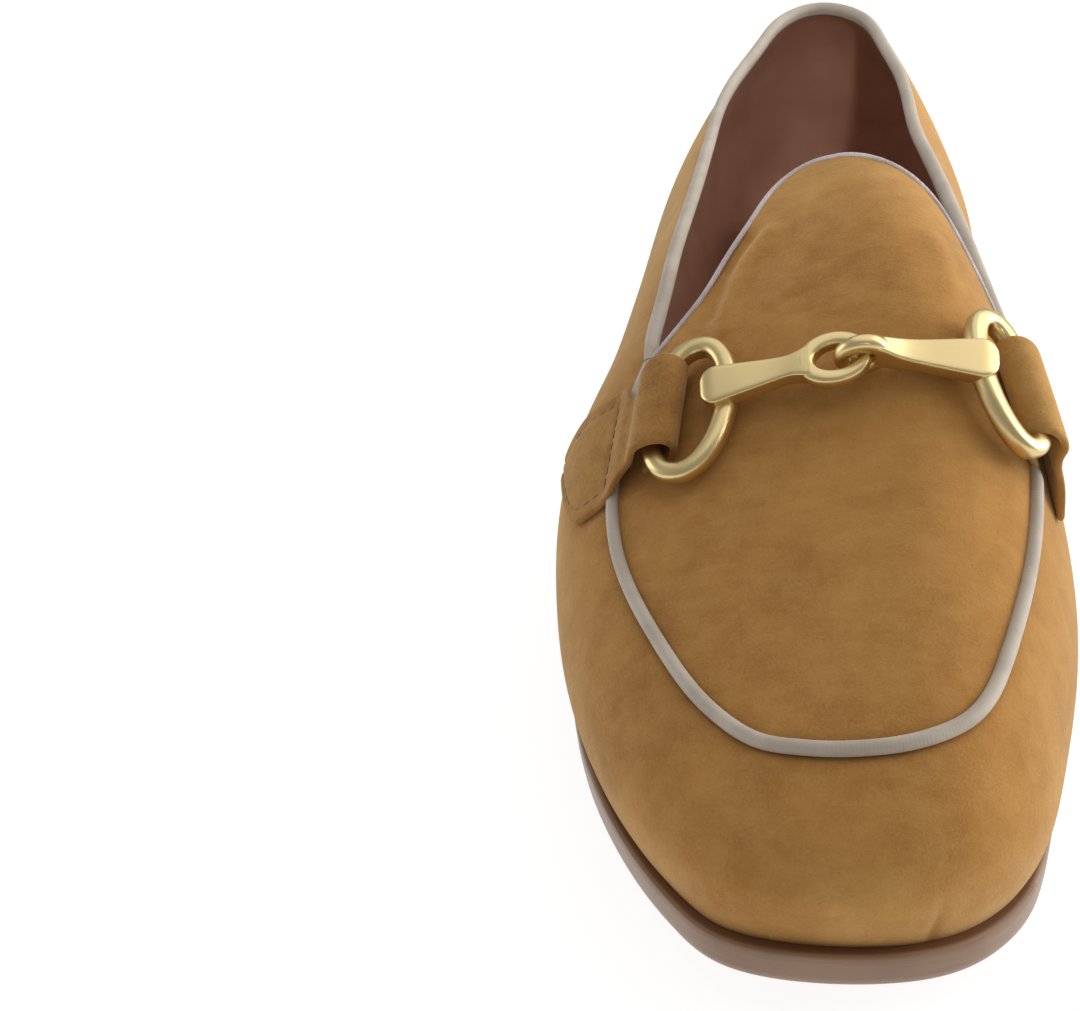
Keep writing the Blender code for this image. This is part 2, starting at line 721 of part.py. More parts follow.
def build_tongue_binding():
    """Thin folded strip over the tongue's free edge."""
    plan = tongue_edge(FRONT_STEPS)
    points = vamp(plan)
    normals = vamp_normal(plan)
    inward = unit(np.cross(np.gradient(points, axis=0), normals))
    shift = inward[:, None] * TONGUE_BINDING["inside"][:, None]
    rings = points[:, None] + shift + normals[:, None] * TONGUE_BINDING["over"][:, None]
    rings = rings[TONGUE_TRIM:-TONGUE_TRIM]
    return add_piece("tongue_binding", *tube(rings), material("tongue_binding", LILAC_GREY, 0.6))


def flank(station, climb, side):
    """Point of a section across the middle of the shoe."""
    ridge = rise("ridge", station)
    share = np.cos(climb)
    across = ridge + (side_across(station, side) - ridge) * share
    plan = np.stack(np.broadcast_arrays(across, station), axis=-1)
    return in_space(plan, dome_height(plan, share, side * share, station))


def flank_climb(station, across, out, side):
    """Climb of the point that lies a distance outwards over the skin from a place across."""
    grid = np.linspace(0.0, FLANK_TOP, FLANK_SAMPLES)
    points = flank(np.full(FLANK_SAMPLES, station), grid, side)
    length = np.concatenate(([0.0], np.cumsum(np.linalg.norm(np.diff(points, axis=0), axis=1))))
    start = np.interp(-side * across, -side * points[:, 0], length)
    return np.interp(start - out, length, grid)


def ring_place(name, station):
    """Place across the shoe from which a tab's path is measured, along its ring."""
    return RING_ACROSS[name] + TAB_SLANT[name] * (station - RING_STATION[name])


def build_tab(name):
    """Strap sewn to the side of the upper and folded into a loop round the ring."""
    side = -1 if name == "lateral" else 1
    reach = TAB_REACH[name]
    outer_end = np.linspace(reach, TAB_FLAT["out"][0], TAB_FLAT_STEPS + 1)[:-1]
    loop = np.column_stack((np.cos(LOOP_TURN), np.sin(LOOP_TURN))) * LOOP_RADIUS
    path = np.vstack(
        (
            np.column_stack((outer_end, np.full(TAB_FLAT_STEPS, TAB_FLAT["up"][0]))),
            np.column_stack((TAB_FLAT["out"], TAB_FLAT["up"])),
            loop + (LOOP_OUT[name], LOOP_HEIGHT[name]),
            np.column_stack((TAB_UNDER["out"], TAB_UNDER["up"])),
        )
    )
    along = unit(np.gradient(path, axis=0))
    normal = np.column_stack((along[:, 1], -along[:, 0]))
    edge = TAB_EDGE[name]
    rear = np.interp(path[:, 0], edge["out"], edge["rear"])
    front = np.interp(path[:, 0], edge["out"], edge["front"])
    faces = []
    for offset in (STRAP / 2.0, -STRAP / 2.0):
        layer = path + normal * offset
        rows = []
        for share in np.linspace(0.0, 1.0, TAB_ROWS):
            stations = rear + (front - rear) * share
            starts = ring_place(name, stations)
            climbs = [flank_climb(*place, side) for place in zip(stations, starts, layer[:, 0])]
            points = flank(stations, np.array(climbs), side)
            plan = np.column_stack((points[:, 0], stations))
            rows.append(points + vamp_normal(plan) * layer[:, 1:])
        faces.append(np.array(rows))
    return add_piece("tab_" + name, *sheet(*faces), material("tab_" + name, SUEDE, 0.92))


def sheet(outer, inner):
    """Points and faces of a thick sheet between two grids of points."""
    count = outer.shape[0] * outer.shape[1]
    index = np.arange(count).reshape(outer.shape[:2])
    rim = np.concatenate((index[0], index[1:, -1], index[-1, -2::-1], index[-2::-1, 0]))
    faces = grid_faces(index)
    faces += [tuple(corner + count for corner in reversed(face)) for face in grid_faces(index)]
    faces += grid_faces(np.vstack((rim, rim + count)))
    return np.vstack((outer.reshape(-1, 3), inner.reshape(-1, 3))), faces


def wire(path, radius, sides):
    """Rings of a round wire along a closed path of points."""
    ahead = np.roll(path, -1, axis=0) - np.roll(path, 1, axis=0)
    along = unit(ahead)
    up = unit(np.cross(path[1] - path[0], path[len(path) // 2] - path[0]))
    across = np.cross(along, up)
    angles = np.linspace(0.0, 2.0 * np.pi, sides, endpoint=False)[:, None]
    return path[:, None] + radius * (across[:, None] * np.cos(angles) + up * np.sin(angles))


def bit_frame(plan, lengthways, outwards):
    """Vamp point under the bit, with its normal, lengthways and outward axes."""
    normal = vamp_normal(plan)
    across = unit(np.cross(lengthways, normal)) * outwards
    return vamp(plan), normal, np.cross(normal, across) * outwards, across


def ring_path(name):
    """Closed D-shaped path of a ring's wire, the place of the bar's end and the ring's normal."""
    outwards = -1.0 if name == "lateral" else 1.0
    plan = np.array((RING_ACROSS[name], RING_STATION[name]))
    lengthways = np.array((-RING_SLANT[name], 1.0, 0.0))
    point, normal, long_axis, out_axis = bit_frame(plan, lengthways, outwards)
    centre = point + normal * RING_LIFT[name]
    turn = np.linspace(0.0, 2.0 * np.pi, RING_STEPS, endpoint=False)
    power = np.where(np.cos(turn) > 0.0, RING_SQUARENESS, 1.0)
    wide = np.sign(np.cos(turn)) * np.abs(np.cos(turn)) ** power * RING_WIDE
    long = np.sign(np.sin(turn)) * np.abs(np.sin(turn)) ** power * RING_LONG
    path = centre + out_axis * wide[:, None] + long_axis * long[:, None]
    bar_end = centre - out_axis * (RING_WIDE - BAR_OVERLAP) + long_axis * BAR_BACK[name]
    return path, bar_end, normal


def build_bit(name):
    """Half of the bit: a D-ring, a bar that widens towards it and an eye at the middle."""
    outwards = -1.0 if name == "lateral" else 1.0
    path, ring_point, ring_normal = ring_path(name)
    plan = np.array((BIT_ACROSS, BIT_STATION))
    point, normal, long_axis, out_axis = bit_frame(plan, np.array((0.0, 1.0, 0.0)), outwards)
    eye_centre = point + normal * BIT_LIFT + out_axis * EYE_OUT[name]
    turned = long_axis * np.cos(EYE_TURN[name]) + normal * np.sin(EYE_TURN[name])
    angles = np.linspace(0.0, 2.0 * np.pi, EYE_STEPS, endpoint=False)[:, None]
    eye = eye_centre + out_axis * np.cos(angles) * EYE_LONG[name] + turned * np.sin(angles) * EYE_WIDE[name]
    start = eye_centre + out_axis * EYE_LONG[name]
    end = ring_point + ring_normal * BAR_RISE
    bar_axis = unit(end - start)
    wide_axis = unit(np.cross(normal, bar_axis))
    deep_axis = np.cross(bar_axis, wide_axis)
    corner = 1.0 - BAR_CHAMFER / BAR["half_width"]
    edge = 1.0 - BAR_CHAMFER / BAR["half_depth"]
    one = np.ones(len(corner))
    wide = np.stack((one, one, corner, -corner, -one, -one, -corner, corner), axis=1)
    deep = np.stack((-edge, edge, one, one, edge, -edge, -one, -one), axis=1)
    wide = wide * BAR["half_width"][:, None]
    deep = deep * BAR["half_depth"][:, None]
    spine_points = start + (end - start) * BAR["share"][:, None]
    bar = spine_points[:, None] + wide[..., None] * wide_axis + deep[..., None] * deep_axis
    parts = (
        tube(wire(path, RING_WIRE, RING_SIDES), closed=True),
        tube(bar),
        tube(wire(eye, EYE_WIRE[name], EYE_SIDES), closed=True),
    )
    return fuse("bit_" + name, parts, material("bit_" + name, PALE_GOLD, 0.32, 1.0))


def fuse(name, parts, look):
    """One piece made of closed parts that run into each other."""
    body = add_piece(name, *parts[0], look)
    others = [add_piece(name + "_member", *part, look) for part in parts[1:]]
    for other in others:
        join = body.modifiers.new("join", "BOOLEAN")
        join.operation = "UNION"
        join.solver = "EXACT"
        join.object = other
    bpy.context.view_layer.update()
    graph = bpy.context.evaluated_depsgraph_get()
    joined = bpy.data.meshes.new_from_object(body.evaluated_get(graph))
    body.modifiers.clear()
    body.data = joined
    for other in others:
        bpy.data.objects.remove(other)
    return body


def main():
    for old in list(bpy.data.objects):
        bpy.data.objects.remove(old)
    pieces = [build_outsole(), build_heel(), build_insole(), build_upper()]
    pieces += [build_piping(), build_quarter_binding(), build_tongue_binding()]
    pieces += [build_tab(name) for name in ("lateral", "medial")]
    pieces += [build_bit(name) for name in ("lateral", "medial")]
    points = np.array([vertex.co for piece in pieces for vertex in piece.data.vertices])
    low, high = points.min(axis=0), points.max(axis=0)
    shoe = bpy.data.objects.new("shoe", None)
    shoe.location = (-(low[0] + high[0]) / 2.0, -(low[1] + high[1]) / 2.0, -low[2])
    bpy.context.scene.collection.objects.link(shoe)
    for piece in pieces:
        piece.parent = shoe


main()
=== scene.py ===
# %% [markdown]
# # A suede loafer with a metal bit
# This lesson dresses the solids of a right-foot slip-on shoe.  The solids give the
# size and the shape of the last.  Here the same shape is worked out again on fine
# grids, so that the suede, the bindings and the metal can have their own folds,
# edges and finishes.  First the packed solids are loaded as a fixed frame.

import bmesh
import bpy
import numpy as np
from mathutils import Matrix


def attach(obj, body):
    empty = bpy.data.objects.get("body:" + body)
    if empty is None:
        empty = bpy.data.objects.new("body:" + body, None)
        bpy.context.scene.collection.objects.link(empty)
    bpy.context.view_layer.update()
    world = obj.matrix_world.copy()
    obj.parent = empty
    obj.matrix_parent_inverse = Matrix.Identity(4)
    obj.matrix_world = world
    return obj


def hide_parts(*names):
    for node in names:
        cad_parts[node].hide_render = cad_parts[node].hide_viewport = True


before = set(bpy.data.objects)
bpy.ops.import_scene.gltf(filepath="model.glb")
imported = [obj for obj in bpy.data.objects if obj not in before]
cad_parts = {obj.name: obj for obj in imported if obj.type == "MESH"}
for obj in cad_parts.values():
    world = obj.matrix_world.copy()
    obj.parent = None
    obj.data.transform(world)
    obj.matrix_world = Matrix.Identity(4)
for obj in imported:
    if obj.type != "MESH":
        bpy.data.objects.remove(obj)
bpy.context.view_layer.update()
print("solids:", sorted(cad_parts))

# %% [markdown]
# ## The camera
# The photograph looks down on the toe from in front, with the shoe turned a little
# and the camera rolled.  A camera can be aimed with a constraint, but a matrix made
# from yaw, pitch and roll says all three at once and can be checked by hand.

# %% Place the camera
CAMERA_PLACE = (0.006283, -0.261721, 0.165380)
CAMERA_YAW = -0.2418
CAMERA_PITCH = 0.5454
CAMERA_ROLL = -0.1181
FOCAL_PIXELS = 1418.46
FRAME_WIDTH = 1080.0
SENSOR_WIDTH = 36.0
CLIP_START = 0.01


def camera_matrix(place, yaw, pitch, roll):
    """Axes of a camera: forward from yaw and pitch, then right and up turned by the roll."""
    level = np.cos(pitch)
    forward = np.array((np.sin(yaw) * level, np.cos(yaw) * level, -np.sin(pitch)))
    right = np.array((np.cos(yaw), -np.sin(yaw), 0.0))
    above = np.cross(right, forward)
    rolled_right = right * np.cos(roll) + above * np.sin(roll)
    rolled_above = above * np.cos(roll) - right * np.sin(roll)
    matrix = np.eye(4)
    matrix[:3] = np.column_stack((rolled_right, rolled_above, -forward, place))
    return Matrix(matrix.tolist())


lens = bpy.data.cameras.new("photo_camera")
lens.sensor_fit = "HORIZONTAL"
lens.sensor_width = SENSOR_WIDTH
lens.lens = FOCAL_PIXELS / FRAME_WIDTH * SENSOR_WIDTH
lens.clip_start = CLIP_START
camera = bpy.data.objects.new("photo_camera", lens)
camera.matrix_world = camera_matrix(CAMERA_PLACE, CAMERA_YAW, CAMERA_PITCH, CAMERA_ROLL)
bpy.context.scene.collection.objects.link(camera)
bpy.context.scene.camera = camera
print("lens in mm:", round(lens.lens, 2))

# %% [markdown]
# ## Tables of the last
# A shoe is built round a last, a solid foot of wood.  Its shape is easiest to state
# as tables: half widths of the widest line, and heights along the length.  A spline
# through each column gives every place between.  Lengths are in millimetres; a
# station runs from the back of the heel to the toe, lateral is -X and medial is +X.

# %% The last's tables
LENGTH = 262.0
HEEL_CENTRE = 30.0
TOE_CENTRE = 232.0
CENTRE_SOFTNESS = 4.0
HEEL_BACK = (0.0, 1.5)
TOE_TIP = (2.4, 259.7)
TOE_SEAM = 0.4625
THROAT = 165.0


def columns(names, *rows):
    """Columns of a table by name."""
    return dict(zip(names.split(), np.array(rows, dtype=float).T))


def by_side(lateral, medial):
    """The values of both sides by name."""
    return {"lateral": lateral, "medial": medial}


PLAN = columns(
    "station lateral medial lateral_seam medial_seam",
    (10.0, 16.7, 19.1, 0.64, 0.79),
    (24.0, 24.1, 26.7, 0.64, 0.79),
    (45.0, 30.3, 30.7, 0.64, 0.79),
    (75.0, 36.3, 35.4, 0.64, 0.79),
    (110.0, 38.7, 35.9, 0.64, 0.79),
    (145.0, 42.2, 39.8, 0.64, 0.79),
    (THROAT, 46.0, 43.5, 0.643, 0.795),
    (190.0, 43.4, 45.0, 0.759, 0.767),
    (210.0, 38.4, 42.7, 0.743, 0.739),
    (228.0, 31.4, 38.85, 0.653, 0.678),
    (243.0, 23.2, 34.3, 0.575, 0.606),
    (252.0, 16.1, 27.7, 0.526, 0.537),
    (257.5, 9.4, 18.6, 0.474, 0.489),
)
RISE = columns(
    "station seat widest crown ridge fullness tilt inset",
    (0.0, 20.0, 20.0, 104.0, 0.0, 2.03, 0.00, 3.0),
    (20.0, 19.6, 20.0, 85.0, 0.0, 1.95, 0.00, 3.0),
    (45.0, 18.6, 20.0, 80.8, 0.0, 1.89, 0.00, 3.0),
    (75.0, 16.3, 19.0, 74.9, 0.4, 1.88, 0.01, 4.8),
    (105.0, 11.8, 17.0, 77.4, 3.1, 1.91, 0.10, 4.8),
    (130.0, 7.6, 15.0, 77.2, 4.5, 2.15, 0.185, 4.2),
    (152.0, 5.2, 13.0, 72.3, 6.0, 2.21, 0.24, 3.6),
    (175.0, 5.0, 11.0, 63.2, 7.1, 2.33, 0.24, 3.2),
    (200.0, 5.2, 10.0, 50.8, 8.2, 2.43, 0.24, 2.9),
    (225.0, 7.2, 8.9, 41.3, 8.5, 2.55, 0.24, 1.9),
    (245.0, 9.8, 8.2, 35.6, 8.4, 2.69, 0.24, 1.8),
    (262.0, 12.4, 8.2, 32.7, 8.2, 2.80, 0.24, 0.8),
)
TOPLINE = columns(
    "station height",
    (0.0, 80.6),
    (30.0, 74.1),
    (60.0, 68.3),
    (90.0, 64.4),
    (120.0, 62.3),
    (150.0, 56.4),
    (THROAT, 53.2),
)
TONGUE = columns(
    "station across",
    (155.0, -18.5),
    (147.0, -14.5),
    (139.1, -10.1),
    (132.4, -6.3),
    (128.1, -0.3),
    (127.9, 4.4),
    (129.0, 7.8),
    (132.9, 14.5),
    (138.7, 22.2),
    (147.0, 26.9),
    (155.0, 30.7),
)


def spline(knots, values, at):
    """Natural cubic spline: bends at the knots solve one linear system, ends are straight."""
    knots, values, at = (np.asarray(item, dtype=float) for item in (knots, values, at))
    gaps = np.diff(knots)
    system = np.diag(np.concatenate(([1.0], 2.0 * (gaps[:-1] + gaps[1:]), [1.0])))
    system += np.diag(np.concatenate(([0.0], gaps[1:])), 1)
    system += np.diag(np.concatenate((gaps[:-1], [0.0])), -1)
    slopes = np.diff(values, axis=0) / gaps.reshape((-1,) + (1,) * (values.ndim - 1))
    bends = np.zeros_like(values)
    bends[1:-1] = 6.0 * np.diff(slopes, axis=0)
    bends = np.linalg.solve(system, bends)
    k = np.clip(np.searchsorted(knots, at, side="right") - 1, 0, len(gaps) - 1)
    past, gap = at - knots[k], gaps[k]
    if values.ndim > 1:
        past, gap = past[..., None], gap[..., None]
    start = slopes[k] - gap * (2.0 * bends[k] + bends[k + 1]) / 6.0
    cubic = (bends[k + 1] - bends[k]) / (6.0 * gap)
    return values[k] + past * (start + past * (bends[k] / 2.0 + past * cubic))


def rise(column, station):
    """A column of the height table at any station."""
    return spline(RISE["station"], RISE[column], station)


print("crown at the throat in mm:", round(float(rise("crown", THROAT)), 1))

# %% [markdown]
# ## The outline and the dome
# The widest line is one closed spline round the shoe, and its parameter is called the
# turn.  From a spine inside the shoe a fan of lines runs to that outline, and along
# each line the upper rises as a dome.  This could be sculpted, but a formula keeps the
# suede, its lining and every trim on one and the same surface.

# %% The outline of the last
WRAP = 4
OUTLINE_SAMPLES = 4001
EASE_STATION = 72.0
EASE_LENGTH = 20.0
EASE_HEIGHTS = (42.0, 64.0)
EASE_HALF = 10.0
EASE_OUT = 1.0


def chord_knots(points):
    """Spline parameter that grows with the root of each chord."""
    chords = np.linalg.norm(np.diff(points, axis=0), axis=1)
    return np.concatenate(([0.0], np.cumsum(np.sqrt(chords))))


LATERAL_POINTS = np.column_stack((-PLAN["lateral"], PLAN["station"]))
MEDIAL_POINTS = np.column_stack((PLAN["medial"], PLAN["station"]))[::-1]
OUTLINE_POINTS = np.vstack(([HEEL_BACK], LATERAL_POINTS, [TOE_TIP], MEDIAL_POINTS))
WRAPPED_POINTS = np.vstack((OUTLINE_POINTS[-WRAP:], OUTLINE_POINTS, OUTLINE_POINTS[: WRAP + 1]))
TURN_KNOTS = chord_knots(WRAPPED_POINTS)
TURN_KNOTS = TURN_KNOTS - TURN_KNOTS[WRAP]
TURN_END = TURN_KNOTS[WRAP + len(OUTLINE_POINTS)]
THROAT_ROW = int(np.argmin(np.abs(PLAN["station"] - THROAT)))
FRONT_TURNS = TURN_KNOTS[WRAP + 1 + THROAT_ROW : WRAP + len(OUTLINE_POINTS) - THROAT_ROW]
TIP_TURN = TURN_KNOTS[WRAP + 1 + len(PLAN["station"])]
SEAM_SHARES = np.concatenate(
    (PLAN["lateral_seam"][THROAT_ROW:], [TOE_SEAM], PLAN["medial_seam"][THROAT_ROW:][::-1])
)


def unit(vectors):
    """Vectors of length one."""
    return vectors / np.maximum(np.linalg.norm(vectors, axis=-1, keepdims=True), 1e-12)


def outline(turn):
    """Plan point of the widest line, going heel, lateral side, toe, medial side."""
    return spline(TURN_KNOTS, WRAPPED_POINTS, np.mod(turn, TURN_END))


DENSE_OUTLINE = outline(np.linspace(0.0, TURN_END, OUTLINE_SAMPLES))


def soft_centre(station):
    """The station held between the heel's and the toe's centre, with rounded corners."""
    over = CENTRE_SOFTNESS * np.logaddexp(0.0, (station - TOE_CENTRE) / CENTRE_SOFTNESS)
    under = CENTRE_SOFTNESS * np.logaddexp(0.0, (HEEL_CENTRE - station) / CENTRE_SOFTNESS)
    return station - over + under


def spine(inner):
    """Plan point of the spine at a station."""
    return np.stack((rise("ridge", inner), inner), axis=-1)


def in_space(plan, z):
    """Plan point and height as a point of the shoe."""
    return np.stack((plan[..., 0], LENGTH / 2.0 - plan[..., 1], z), axis=-1)


def in_plan(points):
    """Plan points, across and station, under points of the shoe."""
    return np.stack((points[..., 0], LENGTH / 2.0 - points[..., 1]), axis=-1)


def dome_height(plan, share, lean, edge_station):
    """Foot of the dome plus its rise: root of one minus a power of the share, fuller where it leans."""
    foot = rise("seat", edge_station) + rise("widest", edge_station)
    station = plan[..., 1]
    arch = np.sqrt(np.maximum(1.0 - share ** rise("fullness", station), 0.0))
    tilt = 1.0 + rise("tilt", station) * lean * (1.0 - lean**2)
    return foot + (rise("crown", station) - foot) * arch * tilt


def collar_ease(points):
    """Lateral collar drawn out a little: a bell along the station that grows with the height."""
    bell = np.exp(-(((in_plan(points)[..., 1] - EASE_STATION) / EASE_LENGTH) ** 2))
    low, high = EASE_HEIGHTS
    grow = np.clip((points[..., 2] - low) / (high - low), 0.0, 1.0)
    lateral = np.clip(-points[..., 0] / EASE_HALF, 0.0, 1.0)
    eased = points.copy()
    eased[..., 0] -= EASE_OUT * bell * grow * lateral
    return eased


def dome(turn, climb):
    """Point of the upper; the cosine of the climb is its share of the way from spine to outline."""
    turn, climb = np.broadcast_arrays(turn, climb)
    edge = outline(turn)
    centre = spine(soft_centre(edge[..., 1]))
    reach = edge - centre
    share = np.cos(climb)
    plan = centre + reach * share[..., None]
    lean = share * reach[..., 0] / np.linalg.norm(reach, axis=-1)
    return collar_ease(in_space(plan, dome_height(plan, share, lean, edge[..., 1])))


SMALL = 1e-3


def dome_normal(turn, climb):
    """Outward normal: cross product of small steps along the turn and up the climb."""
    along = dome(turn + SMALL, climb) - dome(turn - SMALL, climb)
    up = dome(turn, climb + SMALL) - dome(turn, climb - SMALL)
    return unit(np.cross(along, up))


def feather(turn, out):
    """Plan point that stands out from the line where upper and sole meet."""
    edge = outline(turn)
    along = unit(outline(turn + SMALL) - outline(turn - SMALL))
    outward = np.stack((-along[..., 1], along[..., 0]), axis=-1)
    return edge + outward * (out - rise("inset", edge[..., 1]))[..., None]


def skirt(turn, level):
    """Wall from the sole, level 0, to the widest line, level 1, bulging as a parabola."""
    turn, level = np.broadcast_arrays(turn, level)
    station = outline(turn)[..., 1]
    plan = feather(turn, rise("inset", station) * (1.0 - (1.0 - level) ** 2))
    return in_space(plan, rise("seat", station) + rise("widest", station) * level)


print("outline points:", len(OUTLINE_POINTS), "turns round the shoe:", round(float(TURN_END), 2))

# %% [markdown]
# ## The vamp as a height field
# The metal bit and the tabs are placed by plan points: so far across, so far along.
# For those the dome is needed the other way round, as a height over a plan point.
# The edges of the upper are found here too: the apron seam, the top line of the
# quarters and the free edge of the tongue.

# %% The vamp, its seam and its edges
STEEPEST_CLIMB = 1.3
HALVINGS = 40
THROAT_BLEND = 4
STEP = 0.05
FAN_MARGIN = 1.0


def side_across(station, side):
    """Where the widest line lies across the shoe at a station; side is -1 or 1."""
    tip = int(np.argmax(DENSE_OUTLINE[:, 1]))
    lateral, medial = DENSE_OUTLINE[: tip + 1], DENSE_OUTLINE[tip:][::-1]
    left = np.interp(station, lateral[:, 1], lateral[:, 0])
    right = np.interp(station, medial[:, 1], medial[:, 0])
    return np.where(side < 0, left, right)


def dome_over(across, station):
    """Height over a plan point: its share is taken across the shoe, or along the fan of the toe."""
    plan = np.stack(np.broadcast_arrays(across, station), axis=-1).astype(float)
    reach = plan - spine(np.clip(plan[..., 1], HEEL_CENTRE, TOE_CENTRE))
    side = np.where(reach[..., 0] < 0.0, -1.0, 1.0)
    half = side_across(plan[..., 1], side) - (plan[..., 0] - reach[..., 0])
    front = DENSE_OUTLINE[DENSE_OUTLINE[:, 1] > TOE_CENTRE - FAN_MARGIN] - spine(np.array(TOE_CENTRE))
    bearings = np.arctan2(front[:, 1], front[:, 0])
    order = np.argsort(bearings)
    bearing = np.arctan2(reach[..., 1], reach[..., 0])
    radius = np.interp(bearing, bearings[order], np.linalg.norm(front, axis=1)[order])
    in_fan = plan[..., 1] > TOE_CENTRE
    share = np.where(in_fan, np.linalg.norm(reach, axis=-1) / radius, reach[..., 0] / half)
    lean = share * np.where(in_fan, np.cos(bearing), side)
    edge_station = np.where(in_fan, TOE_CENTRE + radius * np.sin(bearing), plan[..., 1])
    return dome_height(plan, np.clip(share, 0.0, 1.0), lean, edge_station)


def vamp(plan):
    """Point of the vamp over a plan point."""
    return in_space(plan, dome_over(plan[..., 0], plan[..., 1]))


def vamp_normal(plan):
    """Outward normal of the vamp from the slopes of its height."""
    place, station = plan[..., 0], plan[..., 1]
    across = dome_over(place + STEP, station) - dome_over(place - STEP, station)
    along = dome_over(place, station + STEP) - dome_over(place, station - STEP)
    return unit(np.stack((-across, along, np.full(across.shape, 2.0 * STEP)), axis=-1))


def seam_climb(turn):
    """Climb of the apron seam on the front of the upper."""
    return np.arccos(spline(FRONT_TURNS, SEAM_SHARES, turn))


THROATS = dome(FRONT_TURNS[[0, -1]], seam_climb(FRONT_TURNS[[0, -1]]))


def topline_climb(turn):
    """Climb at which the quarters reach their top edge, found by halving."""
    side = np.where(outline(turn)[..., 0] < 0.0, 0, 1)
    miss = THROATS[side, 2] - TOPLINE["height"][-1]
    low, high = np.zeros(np.shape(turn)), np.full(np.shape(turn), STEEPEST_CLIMB)
    for _ in range(HALVINGS):
        middle = (low + high) / 2.0
        point = dome(turn, middle)
        station = in_plan(point)[..., 1]
        aim = spline(TOPLINE["station"], TOPLINE["height"], station)
        over = point[..., 2] > aim + miss * (station / THROAT) ** THROAT_BLEND
        high, low = np.where(over, middle, high), np.where(over, low, middle)
    return (low + high) / 2.0


def tongue_edge(steps):
    """Plan points of the tongue's free edge from throat to throat."""
    ends = in_plan(THROATS)
    points = np.vstack((ends[:1], np.column_stack((TONGUE["across"], TONGUE["station"])), ends[1:]))
    knots = chord_knots(points)
    return spline(knots, points, np.linspace(0.0, knots[-1], steps + 1))


toe_seam = dome(TIP_TURN, seam_climb(TIP_TURN))
print("height of the toe seam in mm:", round(float(toe_seam[2]), 1))

# %% [markdown]
# ## From grids to mesh objects
# Every piece below is one or more grids of points.  A grid becomes quads by numbering
# its points; where two rows fall on each other the points are welded, and that is how
# seams, ends and poles close.  Each grid also carries a chart in millimetres that is
# stored as its UV map, so that ribs, stitches and stack lines can follow the piece.  A
# small shift moves the grids to the solids' origin, the middle of their box.

# %% Mesh helpers
METRE = 0.001
ROW_SHIFT = np.array((0.4552, 0.3019, 0.0))
WELD = 2e-6
SHARP = np.radians(38.0)


def grid_normal(points, around=False):
    """Unit normals of a grid: cross product of its differences along columns and rows."""
    if around:
        padded = np.concatenate((points[:, -2:-1], points, points[:, 1:2]), axis=1)
        along = padded[:, 2:] - padded[:, :-2]
    else:
        along = np.gradient(points, axis=1)
    return unit(np.cross(along, np.gradient(points, axis=0)))


def run(points, axis):
    """Length run along one axis of a grid, starting at nought."""
    steps = np.linalg.norm(np.diff(points, axis=axis), axis=-1)
    start = np.zeros_like(np.take(steps, [0], axis=axis))
    return np.concatenate((start, np.cumsum(steps, axis=axis)), axis=axis)


def chart_of(points):
    """Chart of a grid: length along its middle row, and length along each column."""
    along = run(points[points.shape[0] // 2], 0)
    return np.stack((np.broadcast_to(along, points.shape[:2]), run(points, 0)), axis=-1)


def make_piece(name, patches, finish, slot, covers=True, nap=None):
    """Object of welded grids; each patch is its points and its chart, both in millimetres.

    A piece that covers its slot's solid replaces it.  The painted light and wear, a function of the
    points,
    lightens or darkens the suede: painted highlights, painted shade and some wear.
    """
    corners, uvs, start = [], [], 0
    for points, chart in patches:
        index = np.arange(points.shape[0] * points.shape[1]).reshape(points.shape[:2])
        quads = np.stack((index[:-1, :-1], index[:-1, 1:], index[1:, 1:], index[1:, :-1]), axis=-1)
        corners.append(quads.reshape(-1, 4) + start)
        uvs.append(chart.reshape(-1, 2)[quads.reshape(-1)])
        start += index.size
    places = np.vstack([points.reshape(-1, 3) for points, _ in patches])
    mesh = bpy.data.meshes.new(name)
    mesh.from_pydata(((places + ROW_SHIFT) * METRE).tolist(), [], np.vstack(corners).tolist())
    mesh.uv_layers.new(name="chart").data.foreach_set("uv", np.vstack(uvs).ravel())
    # the attribute carries painted highlights, painted shade and some wear for the suede finish
    if nap is not None:
        mesh.attributes.new("nap", "FLOAT", "POINT").data.foreach_set("value", nap(places))
    work = bmesh.new()
    work.from_mesh(mesh)
    bmesh.ops.remove_doubles(work, verts=work.verts, dist=WELD)
    bmesh.ops.recalc_face_normals(work, faces=work.faces)
    work.to_mesh(mesh)
    work.free()
    mesh.shade_smooth()
    mesh.set_sharp_from_angle(angle=SHARP)
    mesh.materials.append(finish)
    piece = bpy.data.objects.new(name, mesh)
    bpy.context.scene.collection.objects.link(piece)
    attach(piece, "root")
    if covers:
        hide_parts(slot)
    edge_of_corner = np.empty(len(mesh.loops), dtype=np.int32)
    mesh.loops.foreach_get("edge_index", edge_of_corner)
    open_edges = int((np.bincount(edge_of_corner) == 1).sum())
    print(name, "faces", len(mesh.polygons), "open edges", open_edges)


def ring_sheet(outer, inner):
    """Closed sheet: rows go up the outer face, over the edge, down the inner face and back."""
    points = np.concatenate((outer, inner[::-1], outer[:1]))
    chart = chart_of(outer)
    return points, np.concatenate((chart, chart[::-1], chart[:1]))


def capped(rings):
    """Rows of closed rings with both end rows drawn together to a point."""
    closed = np.concatenate((rings, rings[:, :1]), axis=1)
    ends = np.broadcast_to(closed[[0, -1]].mean(axis=1, keepdims=True), closed[[0, -1]].shape)
    return np.concatenate((ends[:1], closed, ends[1:]))


def tube_patch(rings):
    """Rings of a tube with a chart whose first value runs along the tube."""
    return rings, chart_of(rings.swapaxes(0, 1)).swapaxes(0, 1)


def along_line(at, travelled, points):
    """Values at given lengths along a line, each coordinate between its neighbours."""
    return np.stack([np.interp(at, travelled, points[:, k]) for k in range(3)], axis=-1)


print("weld in mm:", WELD / METRE)

